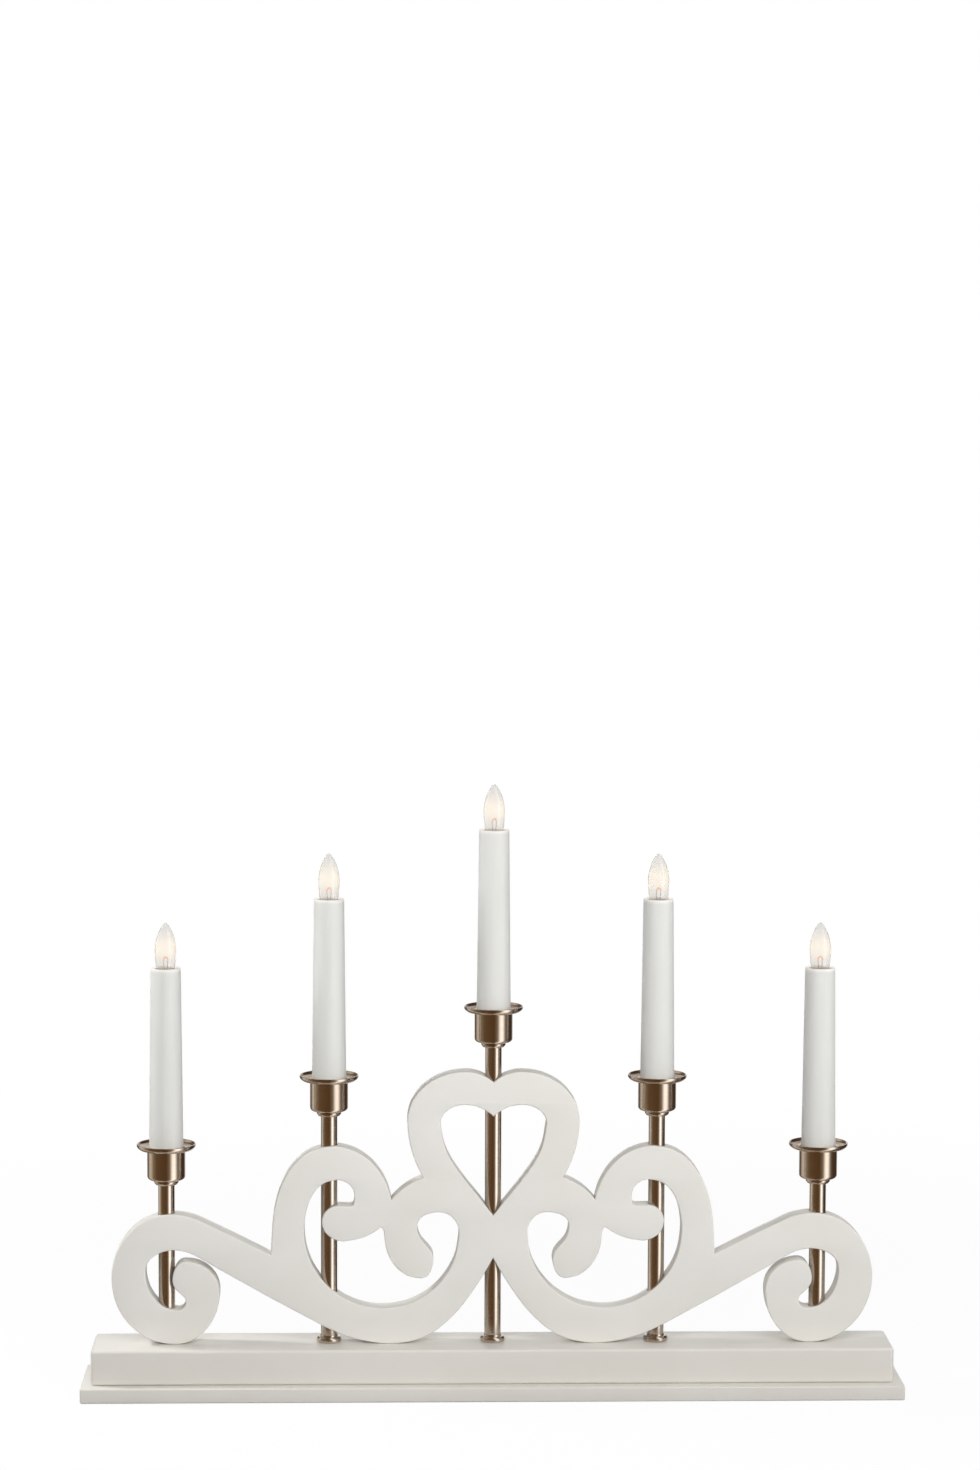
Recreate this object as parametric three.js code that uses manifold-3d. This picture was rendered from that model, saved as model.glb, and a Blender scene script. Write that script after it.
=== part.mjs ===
// Advent candle holder: five electric candles on brushed metal stems, which rise from a long
// painted base through a fretted scroll board. Millimetres, +X along the base, +Y to the back,
// +Z up. The origin is the middle of the base's underside.

import * as THREE from 'three';
import { mergeVertices } from 'three/addons/utils/BufferGeometryUtils.js';
import Module from 'manifold-3d';

const wasm = await Module();
wasm.setup();

// Driving dimensions: the base, with the lower board's overhang past the beam
const boardEndOverhang = 6;
const boardSideOverhang = 7.5;
const boardHeight = 9;
const boardEdgeRound = 1;
const boardCornerRadius = 0.2;
const beamLength = 488;
const beamDepth = 45;
const beamHeight = 21.5;
const beamEdgeRound = 1.8;
const beamCornerRadius = 0.7;

// Driving dimensions: where the candles stand
const innerStemX = 100;
const outerStemInset = 45;
const cupOverCurl = 18.2;
const rimStep = 42.2;

// Driving dimensions: the stems and what fastens them
const stemRadius = 5;
const stemWall = 1.5;
const stemFitClearance = 0.3;
const nutAcrossFlats = 17;
const nutHeight = 5;
const nutPocketClearance = 0.8;
const stemBelowNut = 1.5;
const collarRadius = 7.5;
const collarFlangeHeight = 2.2;
const collarHeight = 6;
const collarLip = 0.7;
const collarThroatWall = 0.9;
const collarCoveRise = 1.2;

// Driving dimensions: the scroll board
const scrollFaceWall = 1.7;
const curlHeight = 80.2;

// Driving dimensions: the candle cup, measured from the plane of its rim
const rimRadius = 18;
const rimBeadRadius = 0.9;
const cupRadius = 11.6;
const cupWall = 0.8;
const cupBodyDepth = 16.3;
const cupBottomRound = 4;
const cupRoundStart = -80;
const cupFloorInset = 3;
const cupFloorThickness = 1.4;
const cupNeckRadius = 7.5;
const cupNeckHeight = 3;
const flangeDip = 0.9;
const flangeThickness = 1.1;
const cupMouthRound = 0.6;
const beadStart = -115;
const beadEnd = 145;

// Driving dimensions: the candle sleeve
const sleeveRise = 109;
const sleeveInsideCup = 11;
const sleeveTopRadius = 9.15;
const sleeveWall = 0.9;
const sleeveTopWall = 1;
const sleeveShoulderRound = 1.2;
const sleeveMouthRadius = 7.4;

// Driving dimensions: the lampholder
const holderShaftRadius = 6;
const holderSocketDepth = 20;
const holderSocketFloorWall = 4;
const holderShoulderHeight = 2.3;
const holderSpigotHeight = 6;
const holderTaperHeight = 2;
const holderTopGap = 5;
const wireBoreRadius = 3.2;
const stemInHolder = 8;

// Driving dimensions: the screw shell, the contact and the bulb
const shellRadius = 5.45;
const shellWall = 0.35;
const shellHeight = 10;
const contactHeadHeight = 0.8;
const contactShankRadius = 1.2;
const contactShankLength = 2.2;
const capSeatHeight = 1;
const capHeight = 9;
const capWall = 0.4;
const capFloorWall = 1.4;
const capShoulder = 0.8;
const capThreadHeight = 0.3;
const capThreadPitch = 1.81;
const capThreadTurns = 2;
const capThreadStart = 1.2;
const capThreadFoot = 1.16;
const capTipRadius = 1.6;
const capTipHeight = 1.8;
const capTipRound = 0.5;
const bulbRise = 27.5;
const glassRadius = 7.05;
const glassWall = 0.5;
const glassNeckLength = 3;
const glassNeckRise = 0.6;
const filamentWireRadius = 0.22;
const filamentHalfSpan = 1.5;
const filamentLeadX = 0.9;
const filamentRise = 9;
const filamentDrop = 5;
const filamentLeadBend = 3;

// Driving dimensions: the wiring, its channel and the bushing that the mains lead enters by
const channelWidth = 12;
const channelEndRoom = 8;
const loomRunRadius = 1.2;
const loomRiserRadius = 1.4;
const bushingX = 50;
const bushingRadius = 4.5;
const bushingWall = 1.2;
const bushingFlangeRadius = 6.2;
const bushingFlangeThickness = 1.6;
const bushingLength = 9;
const bushingEdgeRound = 0.4;
const bushingInletWidth = 8;

// Driving dimensions: the screws that hold the lower board to the beam
const screwX = 150;
const screwY = 14;
const screwShankRadius = 1.9;
const screwHeadRadius = 3.8;
const screwHeadHeight = 2.6;
const screwHeadEdge = 0.4;
const screwSlotDepth = 0.9;
const screwSlotWidth = 0.9;
const screwLength = 24;
const screwPointLength = 3;
const screwPointRadius = 0.3;

// Clearances, and how far a cut runs past the face that it opens
const gap = 0.3;
const overrun = 1;

// Smoothness: sides of round pieces, steps of rounds, and degrees that the scroll turns in one step
const turnedSides = 15;
const smallSides = 12;
const wireSides = 8;
const edgeRoundSteps = 2;
const cupRoundSteps = 3;
const beadSteps = 4;
const sleeveShoulderSteps = 2;
const threadStepsPerTurn = 10;
const filamentSteps = 14;
const outlineStep = 18;

// Worked out from the driving dimensions
const boardLength = beamLength + 2 * boardEndOverhang;
const boardDepth = beamDepth + 2 * boardSideOverhang;
const outerStemX = beamLength / 2 - outerStemInset;
const beamBase = boardHeight;
const beamTop = beamBase + beamHeight;
const stemBoreRadius = stemRadius + stemFitClearance;
const stemInnerRadius = stemRadius - stemWall;
const scrollThickness = 2 * (stemBoreRadius + scrollFaceWall);
const loomRunHeight = beamBase + gap + loomRunRadius;
const stemBase = loomRunHeight + loomRunRadius + gap;
const nutBase = stemBase + stemBelowNut;
const nutCornerRadius = nutAcrossFlats / Math.sqrt(3);
const channelTop = nutBase + nutHeight + gap;
const cupFloor = -cupBodyDepth - cupBottomRound + cupFloorThickness;
const cupNeckBase = -cupBodyDepth - cupBottomRound - cupNeckHeight;
const outerRimHeight = beamTop + curlHeight + cupOverCurl - cupNeckBase;
const cupBore = cupRadius - cupWall;
const cupFloorRadius = cupBore - cupFloorInset;
const sleeveBase = -sleeveInsideCup;
const sleeveBottomRadius = cupBore - gap;
const sleeveTopBore = sleeveTopRadius - sleeveWall;
const holderSocketRadius = sleeveTopBore - gap;
const holderBase = cupFloor + gap;
const holderShoulderTop = sleeveBase - gap;
const holderShoulderRadius = cupBore - gap;
const holderFootRadius = sleeveBottomRadius - sleeveWall - gap;
const holderTop = sleeveRise - holderTopGap;
const socketFloor = sleeveRise - holderSocketDepth;
const shellBase = socketFloor + gap;
const shellBore = shellRadius - shellWall;
const capRadius = shellBore - gap - capThreadHeight;
const capBase = shellBase + capSeatHeight;
const capTop = capBase + capHeight;
const capFloor = capBase + capFloorWall;
const capTipBase = capBase - capTipHeight;
const contactHeadTop = capTipBase - gap;
const contactHeadRadius = wireBoreRadius - gap;
const contactBase = contactHeadTop - contactHeadHeight - contactShankLength;
const stemTopInHolder = holderBase + stemInHolder;
const glassNeckRadius = capRadius - capWall - gap;
const glassBase = capTop - glassNeckLength;

const candles = [
  { name: '1', x: -outerStemX, rim: outerRimHeight },
  { name: '2', x: -innerStemX, rim: outerRimHeight + rimStep },
  { name: '3', x: 0, rim: outerRimHeight + 2 * rimStep },
  { name: '4', x: innerStemX, rim: outerRimHeight + rimStep },
  { name: '5', x: outerStemX, rim: outerRimHeight },
];

const screws = [
  { name: 'left', x: -screwX, y: -screwY },
  { name: 'right', x: screwX, y: screwY },
];

// Materials
const finish = {
  paintedWood: { color: 0xe6e3dd, roughness: 0.42, metalness: 0 },
  brushedNickel: { color: 0x96816b, roughness: 0.3, metalness: 1 },
  candlePlastic: { color: 0xe3e4de, roughness: 0.38, metalness: 0 },
  holderPlastic: { color: 0xd8d4c8, roughness: 0.5, metalness: 0 },
  brass: { color: 0xb8964e, roughness: 0.32, metalness: 1 },
  zincSteel: { color: 0xa9abad, roughness: 0.38, metalness: 1 },
  glowingWire: { color: 0xff9a3c, roughness: 0.6, metalness: 0.4 },
  cable: { color: 0xe9e7e2, roughness: 0.6, metalness: 0 },
  clearGlass: { color: 0xfff2d6, roughness: 0.05, metalness: 0, transparent: true, opacity: 0.35 },
};

function piece(name, geometry, look) {
  const mesh = new THREE.Mesh(geometry, new THREE.MeshStandardMaterial(finish[look]));
  mesh.name = name;
  return mesh;
}

// Solids and booleans
function toSolid(geometry) {
  const bare = geometry.clone();
  bare.deleteAttribute('normal');
  bare.deleteAttribute('uv');
  const merged = mergeVertices(bare, 1e-4);
  const source = merged.index.array;
  const triangles = [];
  for (let i = 0; i < source.length; i += 3) {
    const [a, b, c] = [source[i], source[i + 1], source[i + 2]];
    if (a !== b && b !== c && c !== a) {
      triangles.push(a, b, c);
    }
  }
  return new wasm.Manifold(new wasm.Mesh({
    numProp: 3,
    vertProperties: new Float32Array(merged.attributes.position.array),
    triVerts: new Uint32Array(triangles),
  }));
}

function toGeometry(solid) {
  const mesh = solid.getMesh();
  const geometry = new THREE.BufferGeometry();
  geometry.setAttribute('position', new THREE.BufferAttribute(new Float32Array(mesh.vertProperties), 3));
  geometry.setIndex(new THREE.BufferAttribute(new Uint32Array(mesh.triVerts), 1));
  geometry.computeVertexNormals();
  return geometry;
}

function cutAway(geometry, tools) {
  let solid = toSolid(geometry);
  for (const tool of tools) {
    solid = solid.subtract(toSolid(tool));
  }
  return toGeometry(solid);
}

function joinAll(geometries) {
  let solid = toSolid(geometries[0]);
  for (const other of geometries.slice(1)) {
    solid = solid.add(toSolid(other));
  }
  return toGeometry(solid);
}

function rod(radius, bottom, top, sides = smallSides) {
  const geometry = new THREE.CylinderGeometry(radius, radius, top - bottom, sides);
  geometry.rotateX(Math.PI / 2);
  geometry.translate(0, 0, (bottom + top) / 2);
  return geometry;
}

function block(xMin, xMax, yMin, yMax, zMin, zMax) {
  const geometry = new THREE.BoxGeometry(xMax - xMin, yMax - yMin, zMax - zMin);
  geometry.translate((xMin + xMax) / 2, (yMin + yMax) / 2, (zMin + zMax) / 2);
  return geometry;
}

// A profile of [radius, height] points runs up the outside and down the inside.
function turned(profile, sides = turnedSides) {
  const points = profile.map(([radius, height]) => new THREE.Vector2(radius, height));
  const geometry = new THREE.LatheGeometry(points, sides);
  geometry.rotateX(Math.PI / 2);
  return toGeometry(toSolid(geometry));
}

function closed(profile) {
  return [...profile, profile[0]];
}

function arc(centreR, centreZ, radius, fromDegrees, toDegrees, steps) {
  const points = [];
  for (let i = 0; i <= steps; i += 1) {
    const angle = THREE.MathUtils.degToRad(fromDegrees + ((toDegrees - fromDegrees) * i) / steps);
    points.push([centreR + radius * Math.cos(angle), centreZ + radius * Math.sin(angle)]);
  }
  return points;
}

// A flat board on the plane of its base. cornerRadius belongs to its top face, inside the rounded edge.
function roundedBoard(length, depth, height, base, cornerRadius, edgeRound) {
  const cornerX = length / 2 - edgeRound - cornerRadius;
  const cornerY = depth / 2 - edgeRound - cornerRadius;
  const plan = new THREE.Shape();
  plan.absarc(cornerX, cornerY, cornerRadius, 0, Math.PI / 2);
  plan.absarc(-cornerX, cornerY, cornerRadius, Math.PI / 2, Math.PI);
  plan.absarc(-cornerX, -cornerY, cornerRadius, Math.PI, 1.5 * Math.PI);
  plan.absarc(cornerX, -cornerY, cornerRadius, 1.5 * Math.PI, 2 * Math.PI);
  const geometry = new THREE.ExtrudeGeometry(plan, {
    depth: height - 2 * edgeRound,
    bevelSize: edgeRound,
    bevelThickness: edgeRound,
    bevelSegments: edgeRoundSteps,
    curveSegments: edgeRoundSteps,
  });
  geometry.translate(0, 0, base + edgeRound);
  return geometry;
}

// The base: a lower board screwed from below to a beam that hides the wiring
function lowerBoard() {
  const holes = screws.flatMap(({ x, y }) => {
    const shaft = rod(screwShankRadius + gap, -overrun, boardHeight + overrun);
    const head = rod(screwHeadRadius + gap, -overrun, screwHeadHeight + 2 * gap);
    return [shaft.translate(x, y, 0), head.translate(x, y, 0)];
  });
  const board = roundedBoard(
    boardLength, boardDepth, boardHeight, 0, boardCornerRadius, boardEdgeRound,
  );
  return cutAway(board, holes);
}

function upperBeam() {
  const beam = roundedBoard(
    beamLength, beamDepth, beamHeight, beamBase, beamCornerRadius, beamEdgeRound,
  );
  const halfChannel = channelWidth / 2;
  const reach = outerStemX + channelEndRoom;
  const underside = beamBase - overrun;
  const channel = block(-reach, reach, -halfChannel, halfChannel, underside, channelTop);
  const inletBack = beamDepth / 2 - bushingLength + gap;
  const inlet = block(
    bushingX - bushingInletWidth / 2, bushingX + bushingInletWidth / 2,
    0, inletBack, underside, channelTop,
  );
  const bushingHole = rod(bushingRadius + gap, 0, beamDepth);
  bushingHole.rotateX(-Math.PI / 2);
  bushingHole.translate(bushingX, inletBack - overrun, bushingHeight());
  const cuts = [channel, inlet, bushingHole];
  for (const { x } of candles) {
    cuts.push(rod(stemBoreRadius, underside, beamTop + overrun).translate(x, 0, 0));
    cuts.push(rod(nutCornerRadius + nutPocketClearance, underside, channelTop).translate(x, 0, 0));
  }
  for (const { x, y } of screws) {
    const pilot = rod(screwShankRadius + gap, underside, screwLength + gap);
    cuts.push(pilot.translate(x, y, 0));
  }
  return cutAway(beam, cuts);
}

function baseScrew() {
  const neckTop = gap + screwHeadHeight;
  const body = turned([
    [0, gap], [screwHeadRadius, gap], [screwHeadRadius, gap + screwHeadEdge],
    [screwShankRadius, neckTop], [screwShankRadius, screwLength - screwPointLength],
    [screwPointRadius, screwLength], [0, screwLength],
  ], smallSides);
  const slot = block(
    -screwHeadRadius - overrun, screwHeadRadius + overrun,
    -screwSlotWidth / 2, screwSlotWidth / 2, -overrun, gap + screwSlotDepth,
  );
  return cutAway(body, [slot]);
}

// The bushing in the back of the beam
function bushingHeight() {
  return beamBase + gap + bushingFlangeRadius;
}

function cordBushing() {
  const bore = bushingRadius - bushingWall;
  const round = bushingEdgeRound;
  const outerFace = bushingLength + bushingFlangeThickness;
  const ring = turned(closed([
    [bore, 0], [bushingRadius, 0], [bushingRadius, bushingLength],
    [bushingFlangeRadius - round, bushingLength], [bushingFlangeRadius, bushingLength + round],
    [bushingFlangeRadius, outerFace - round], [bushingFlangeRadius - round, outerFace],
    [bore, outerFace],
  ]), smallSides);
  ring.rotateX(-Math.PI / 2);
  ring.translate(bushingX, beamDepth / 2 - bushingLength + gap, bushingHeight());
  return ring;
}

// The wiring: one run along the channel, a tail to the bushing and a riser into every stem
function wiringLoom() {
  const run = rod(loomRunRadius, -outerStemX - loomRunRadius, outerStemX + loomRunRadius, wireSides);
  run.rotateY(Math.PI / 2);
  run.translate(0, 0, loomRunHeight);
  const tail = rod(loomRunRadius, 0, beamDepth / 2 - bushingLength - gap, wireSides);
  tail.rotateX(-Math.PI / 2);
  tail.translate(bushingX, 0, loomRunHeight);
  const risers = candles.map(({ x, rim }) => {
    const top = rim + contactBase - gap;
    return rod(loomRiserRadius, loomRunHeight, top, wireSides).translate(x, 0, 0);
  });
  return joinAll([run, tail, ...risers]);
}

// The scroll board's edge is drawn through stations, each [x, height, heading in degrees], with
// height above the beam. A corner has two headings, the way in and the way out. Stations are set
// out from the middle line, from the inner stem or from the outer stem of the left half.
const fromMiddle = (x, height, ...heading) => [x, height, ...heading];
const fromInnerStem = (x, height, ...heading) => [x - innerStemX, height, ...heading];
const fromOuterStem = (x, height, ...heading) => [x - outerStemX, height, ...heading];

const halfOutline = [
  // over the heart's lobe and down to its waist
  fromMiddle(0, 161.3, 140),
  fromMiddle(-17.2, 167.8, 180),
  fromMiddle(-52.4, 137, 270),
  fromMiddle(-42.6, 102.6, 300, 203),
  // up and over the great loop
  fromInnerStem(37.9, 88.9, 238, 100),
  fromInnerStem(2.2, 122, 180),
  fromInnerStem(-34.9, 66, 270),
  fromInnerStem(-35.4, 55, 269, 155),
  // along the arm and round the end curl
  fromOuterStem(19.5, 77, 157),
  fromOuterStem(3, curlHeight, 180),
  fromOuterStem(-33.3, 40.7, 270),
  fromOuterStem(5, 0, 0),
  fromOuterStem(32.4, 31.8, 90),
  fromOuterStem(11.8, 51.1, 180),
  fromOuterStem(3.7, 39.3, 270),
  fromOuterStem(8.6, 31.2, 318),
  fromOuterStem(11.8, 26.5, 270),
  fromOuterStem(6.5, 21.3, 180),
  fromOuterStem(-12.6, 44.9, 90),
  fromOuterStem(5.5, 58.2, 0),
  // back under the arm, round the loop's foot and up to the crossing
  fromOuterStem(29.2, 48, 331),
  fromInnerStem(-3.7, 11.1, 330.5),
  fromInnerStem(40.2, 0, 0),
  fromMiddle(0, 52.9, 61),
];

const loopOpening = [
  fromInnerStem(32.8, 22.1, 0),
  fromMiddle(-20.8, 68.4, 90),
  fromMiddle(-33, 81.2, 180),
  // round the drop-shaped curl
  fromMiddle(-46.2, 72.5, 272),
  fromMiddle(-42.5, 62.6, 313),
  fromMiddle(-36.3, 51.5, 265),
  fromMiddle(-44, 40.4, 180),
  fromMiddle(-66.3, 66, 92),
  fromMiddle(-68.4, 71.9, 150, 215),
  // round the small upper curl
  fromInnerStem(9.1, 63.4, 180),
  fromInnerStem(-4.3, 75.5, 90),
  fromInnerStem(5.4, 85.3, 0),
  fromInnerStem(12.7, 85.1, 0),
  fromInnerStem(15.5, 91.5, 90),
  fromInnerStem(4.8, 101.2, 180),
  fromInnerStem(-15.1, 70, 270),
  fromInnerStem(32.8, 22.1, 0),
];

const halfHeartOpening = [
  fromMiddle(0, 79.2, 125),
  fromMiddle(-32.2, 135.7, 90),
  fromMiddle(-17.1, 147.4, 0),
  fromMiddle(0, 140.2, 318),
];

function heading(degrees) {
  const angle = THREE.MathUtils.degToRad(degrees);
  return new THREE.Vector2(Math.cos(angle), Math.sin(angle));
}

// A cubic between two stations whose handles make a circular arc wherever one fits.
function stretchBetween(from, to) {
  const start = new THREE.Vector2(from[0], from[1]);
  const end = new THREE.Vector2(to[0], to[1]);
  const leaving = from[from.length - 1];
  const arriving = to[2];
  const turn = THREE.MathUtils.euclideanModulo(arriving - leaving + 180, 360) - 180;
  const handle = start.distanceTo(end) / (3 * Math.cos(THREE.MathUtils.degToRad(turn / 4)) ** 2);
  const first = start.clone().addScaledVector(heading(leaving), handle);
  const second = end.clone().addScaledVector(heading(arriving), -handle);
  const bend = Math.abs(first.clone().sub(start).angleTo(second.clone().sub(first)))
    + Math.abs(second.clone().sub(first).angleTo(end.clone().sub(second)));
  const steps = Math.max(1, Math.ceil(THREE.MathUtils.radToDeg(bend) / outlineStep));
  return new THREE.CubicBezierCurve(start, first, second, end).getPoints(steps).slice(1);
}

function edgeThrough(stations) {
  const points = [new THREE.Vector2(stations[0][0], stations[0][1])];
  for (let i = 1; i < stations.length; i += 1) {
    points.push(...stretchBetween(stations[i - 1], stations[i]));
  }
  return points;
}

function mirrored(points) {
  return points.map((point) => new THREE.Vector2(-point.x, point.y)).reverse();
}

// Joins a half edge, which starts and ends on the middle line, to its mirror image.
function bothHalves(half) {
  return [...half, ...mirrored(half).slice(1, -1)];
}

function scrollBoard() {
  const outline = new THREE.Shape(bothHalves(edgeThrough(halfOutline)));
  const opening = edgeThrough(loopOpening).slice(1);
  outline.holes = [opening, mirrored(opening), bothHalves(edgeThrough(halfHeartOpening))]
    .map((points) => new THREE.Path(points));
  const board = new THREE.ExtrudeGeometry(outline, { depth: scrollThickness, bevelEnabled: false });
  board.rotateX(Math.PI / 2);
  board.translate(0, scrollThickness / 2, beamTop);
  const bores = candles.map(
    ({ x, rim }) => rod(stemBoreRadius, beamTop - overrun, rim).translate(x, 0, 0),
  );
  return cutAway(board, bores);
}

// The stem and its fasteners, measured from the base
function stemTube(rim) {
  const top = rim + stemTopInHolder;
  return turned(closed([
    [stemInnerRadius, stemBase], [stemRadius, stemBase], [stemRadius, top], [stemInnerRadius, top],
  ]), smallSides);
}

function stemNut() {
  const blank = rod(nutCornerRadius, nutBase, nutBase + nutHeight, 6);
  return cutAway(blank, [rod(stemBoreRadius, nutBase - overrun, channelTop + overrun)]);
}

function stemCollar() {
  const flangeTop = beamTop + collarFlangeHeight;
  const top = beamTop + collarHeight;
  const throat = stemBoreRadius + collarThroatWall;
  return turned(closed([
    [stemBoreRadius, beamTop], [collarRadius - collarLip, beamTop],
    [collarRadius, beamTop + collarLip], [collarRadius, flangeTop - collarLip],
    [collarRadius - collarLip, flangeTop], [throat, flangeTop + collarCoveRise],
    [throat, top], [stemBoreRadius, top],
  ]), turnedSides);
}

// The candle's own pieces, measured from the plane of the cup's rim
function candleCup() {
  const beadCentre = rimRadius - rimBeadRadius;
  const sheetTop = -flangeDip;
  return turned(closed([
    [stemBoreRadius, cupNeckBase], [cupNeckRadius, cupNeckBase],
    [cupNeckRadius, cupNeckBase + cupNeckHeight],
    ...arc(cupRadius - cupBottomRound, -cupBodyDepth, cupBottomRound, cupRoundStart, 0, cupRoundSteps),
    [cupRadius, sheetTop - flangeThickness],
    ...arc(beadCentre, 0, rimBeadRadius, beadStart, beadEnd, beadSteps),
    [cupBore + cupMouthRound, sheetTop], [cupBore, sheetTop - cupMouthRound],
    [cupBore, -cupBodyDepth], [cupFloorRadius, cupFloor], [stemBoreRadius, cupFloor],
  ]), turnedSides);
}

function lampholder() {
  const footRadius = cupFloorRadius - gap;
  const shoulderBase = holderShoulderTop - holderShoulderHeight;
  const spigotTop = holderShoulderTop + holderSpigotHeight;
  const socketBase = socketFloor - holderSocketFloorWall;
  const socketBore = shellRadius + gap;
  return turned(closed([
    [stemBoreRadius, holderBase], [footRadius, holderBase], [footRadius, shoulderBase],
    [holderShoulderRadius, shoulderBase], [holderShoulderRadius, holderShoulderTop],
    [holderFootRadius, holderShoulderTop], [holderFootRadius, spigotTop],
    [holderShaftRadius, spigotTop + holderTaperHeight], [holderShaftRadius, socketBase],
    [holderSocketRadius, socketBase + holderTaperHeight], [holderSocketRadius, holderTop],
    [socketBore, holderTop], [socketBore, socketFloor], [wireBoreRadius, socketFloor],
    [wireBoreRadius, stemTopInHolder + gap], [stemBoreRadius, stemTopInHolder + gap],
  ]), smallSides);
}

function candleSleeve() {
  const round = sleeveShoulderRound;
  const innerTop = sleeveRise - sleeveTopWall;
  return turned(closed([
    [sleeveBottomRadius - sleeveWall, sleeveBase], [sleeveBottomRadius, sleeveBase],
    ...arc(sleeveTopRadius - round, sleeveRise - round, round, 0, 90, sleeveShoulderSteps),
    [sleeveMouthRadius, sleeveRise], [sleeveMouthRadius, innerTop],
    [sleeveTopBore, innerTop],
  ]), turnedSides);
}

function screwShell() {
  return turned(closed([
    [shellBore, shellBase], [shellRadius, shellBase],
    [shellRadius, shellBase + shellHeight], [shellBore, shellBase + shellHeight],
  ]), smallSides);
}

function centreContact() {
  const headBase = contactHeadTop - contactHeadHeight;
  return turned([
    [0, contactBase], [contactShankRadius, contactBase], [contactShankRadius, headBase],
    [contactHeadRadius, headBase], [contactHeadRadius, contactHeadTop], [0, contactHeadTop],
  ], smallSides);
}

// The rolled thread of the bulb's cap: a ridge of triangular section on its helix.
class Helix extends THREE.Curve {
  constructor(radius, base, pitch, turns) {
    super();
    Object.assign(this, { radius, base, pitch, turns });
  }

  getPoint(t, target = new THREE.Vector3()) {
    const angle = 2 * Math.PI * this.turns * t;
    return target.set(
      this.radius * Math.cos(angle),
      this.radius * Math.sin(angle),
      this.base + this.pitch * this.turns * t,
    );
  }
}

function threadRidge() {
  const helix = new Helix(capRadius, capBase + capThreadStart, capThreadPitch, capThreadTurns);
  const positions = [];
  const triangles = [];
  const steps = threadStepsPerTurn * capThreadTurns;
  const root = capRadius - capWall / 2;
  const crest = capRadius + capThreadHeight;
  for (let i = 0; i <= steps; i += 1) {
    const centre = helix.getPoint(i / steps);
    const outward = new THREE.Vector2(centre.x, centre.y).normalize();
    positions.push(outward.x * root, outward.y * root, centre.z - capThreadFoot / 2);
    positions.push(outward.x * crest, outward.y * crest, centre.z);
    positions.push(outward.x * root, outward.y * root, centre.z + capThreadFoot / 2);
    if (i < steps) {
      const here = 3 * i;
      for (let side = 0; side < 3; side += 1) {
        const next = (side + 1) % 3;
        triangles.push(here + side, here + 3 + side, here + next);
        triangles.push(here + next, here + 3 + side, here + 3 + next);
      }
    }
  }
  const last = 3 * steps;
  triangles.push(0, 1, 2, last, last + 2, last + 1);
  const ridge = new THREE.BufferGeometry();
  ridge.setAttribute('position', new THREE.Float32BufferAttribute(positions, 3));
  ridge.setIndex(triangles);
  return ridge;
}

function bulbCap() {
  const inside = capRadius - capWall;
  const shell = turned([
    [0, capTipBase], [capTipRadius - capTipRound, capTipBase],
    [capTipRadius, capTipBase + capTipRound], [capRadius - capShoulder, capBase],
    [capRadius, capBase + capShoulder], [capRadius, capTop], [inside, capTop],
    [inside, capFloor], [0, capFloor],
  ], smallSides);
  return joinAll([shell, threadRidge()]);
}

// The glass from its foot to its tip: shares of its widest radius, and depths below its tip.
const glassShape = [
  [0.71, 32], [0.885, 27], [0.96, 21.5], [1, 15.5], [0.94, 11.2], [0.79, 7.3],
  [0.64, 4.2], [0.41, 1.6], [0.21, 0.3],
];

function bulbGlass() {
  const tip = sleeveRise + bulbRise;
  const neckTop = capTop + glassNeckRise;
  const outside = glassShape.map(([share, depth]) => [share * glassRadius, tip - depth]);
  const inside = outside
    .filter((_, i) => i % 2 === 1)
    .map(([radius, height]) => [radius - glassWall, height]);
  return turned([
    [0, tip - 2 * glassWall], ...inside.reverse(),
    [glassNeckRadius - glassWall, neckTop], [glassNeckRadius - glassWall, glassBase],
    [glassNeckRadius, glassBase], [glassNeckRadius, neckTop], ...outside, [0, tip],
  ], smallSides);
}

function bulbFilament() {
  const foot = capFloor + gap;
  const top = sleeveRise + filamentRise;
  const shoulder = top - filamentDrop;
  const bend = shoulder - filamentLeadBend;
  const corners = [
    [-filamentLeadX, foot], [-filamentLeadX, bend], [-filamentHalfSpan, shoulder], [0, top],
    [filamentHalfSpan, shoulder], [filamentLeadX, bend], [filamentLeadX, foot],
  ].map(([x, z]) => new THREE.Vector3(x, 0, z));
  const wire = new THREE.CatmullRomCurve3(corners, false, 'centripetal');
  const section = new THREE.Shape();
  section.absarc(0, 0, filamentWireRadius, 0, 2 * Math.PI);
  return toGeometry(toSolid(new THREE.ExtrudeGeometry(section, {
    extrudePath: wire, steps: filamentSteps, curveSegments: edgeRoundSteps,
  })));
}

// Assembly
const holder = new THREE.Group();
holder.name = 'advent_candle_holder';

holder.add(piece('base_lower_board', lowerBoard(), 'paintedWood'));
holder.add(piece('base_upper_beam', upperBeam(), 'paintedWood'));
holder.add(piece('scroll_board', scrollBoard(), 'paintedWood'));
holder.add(piece('cord_bushing', cordBushing(), 'holderPlastic'));
holder.add(piece('wiring_loom', wiringLoom(), 'cable'));

for (const { name, x, y } of screws) {
  const screw = piece(`base_screw_${name}`, baseScrew(), 'zincSteel');
  screw.position.set(x, y, 0);
  holder.add(screw);
}

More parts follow.
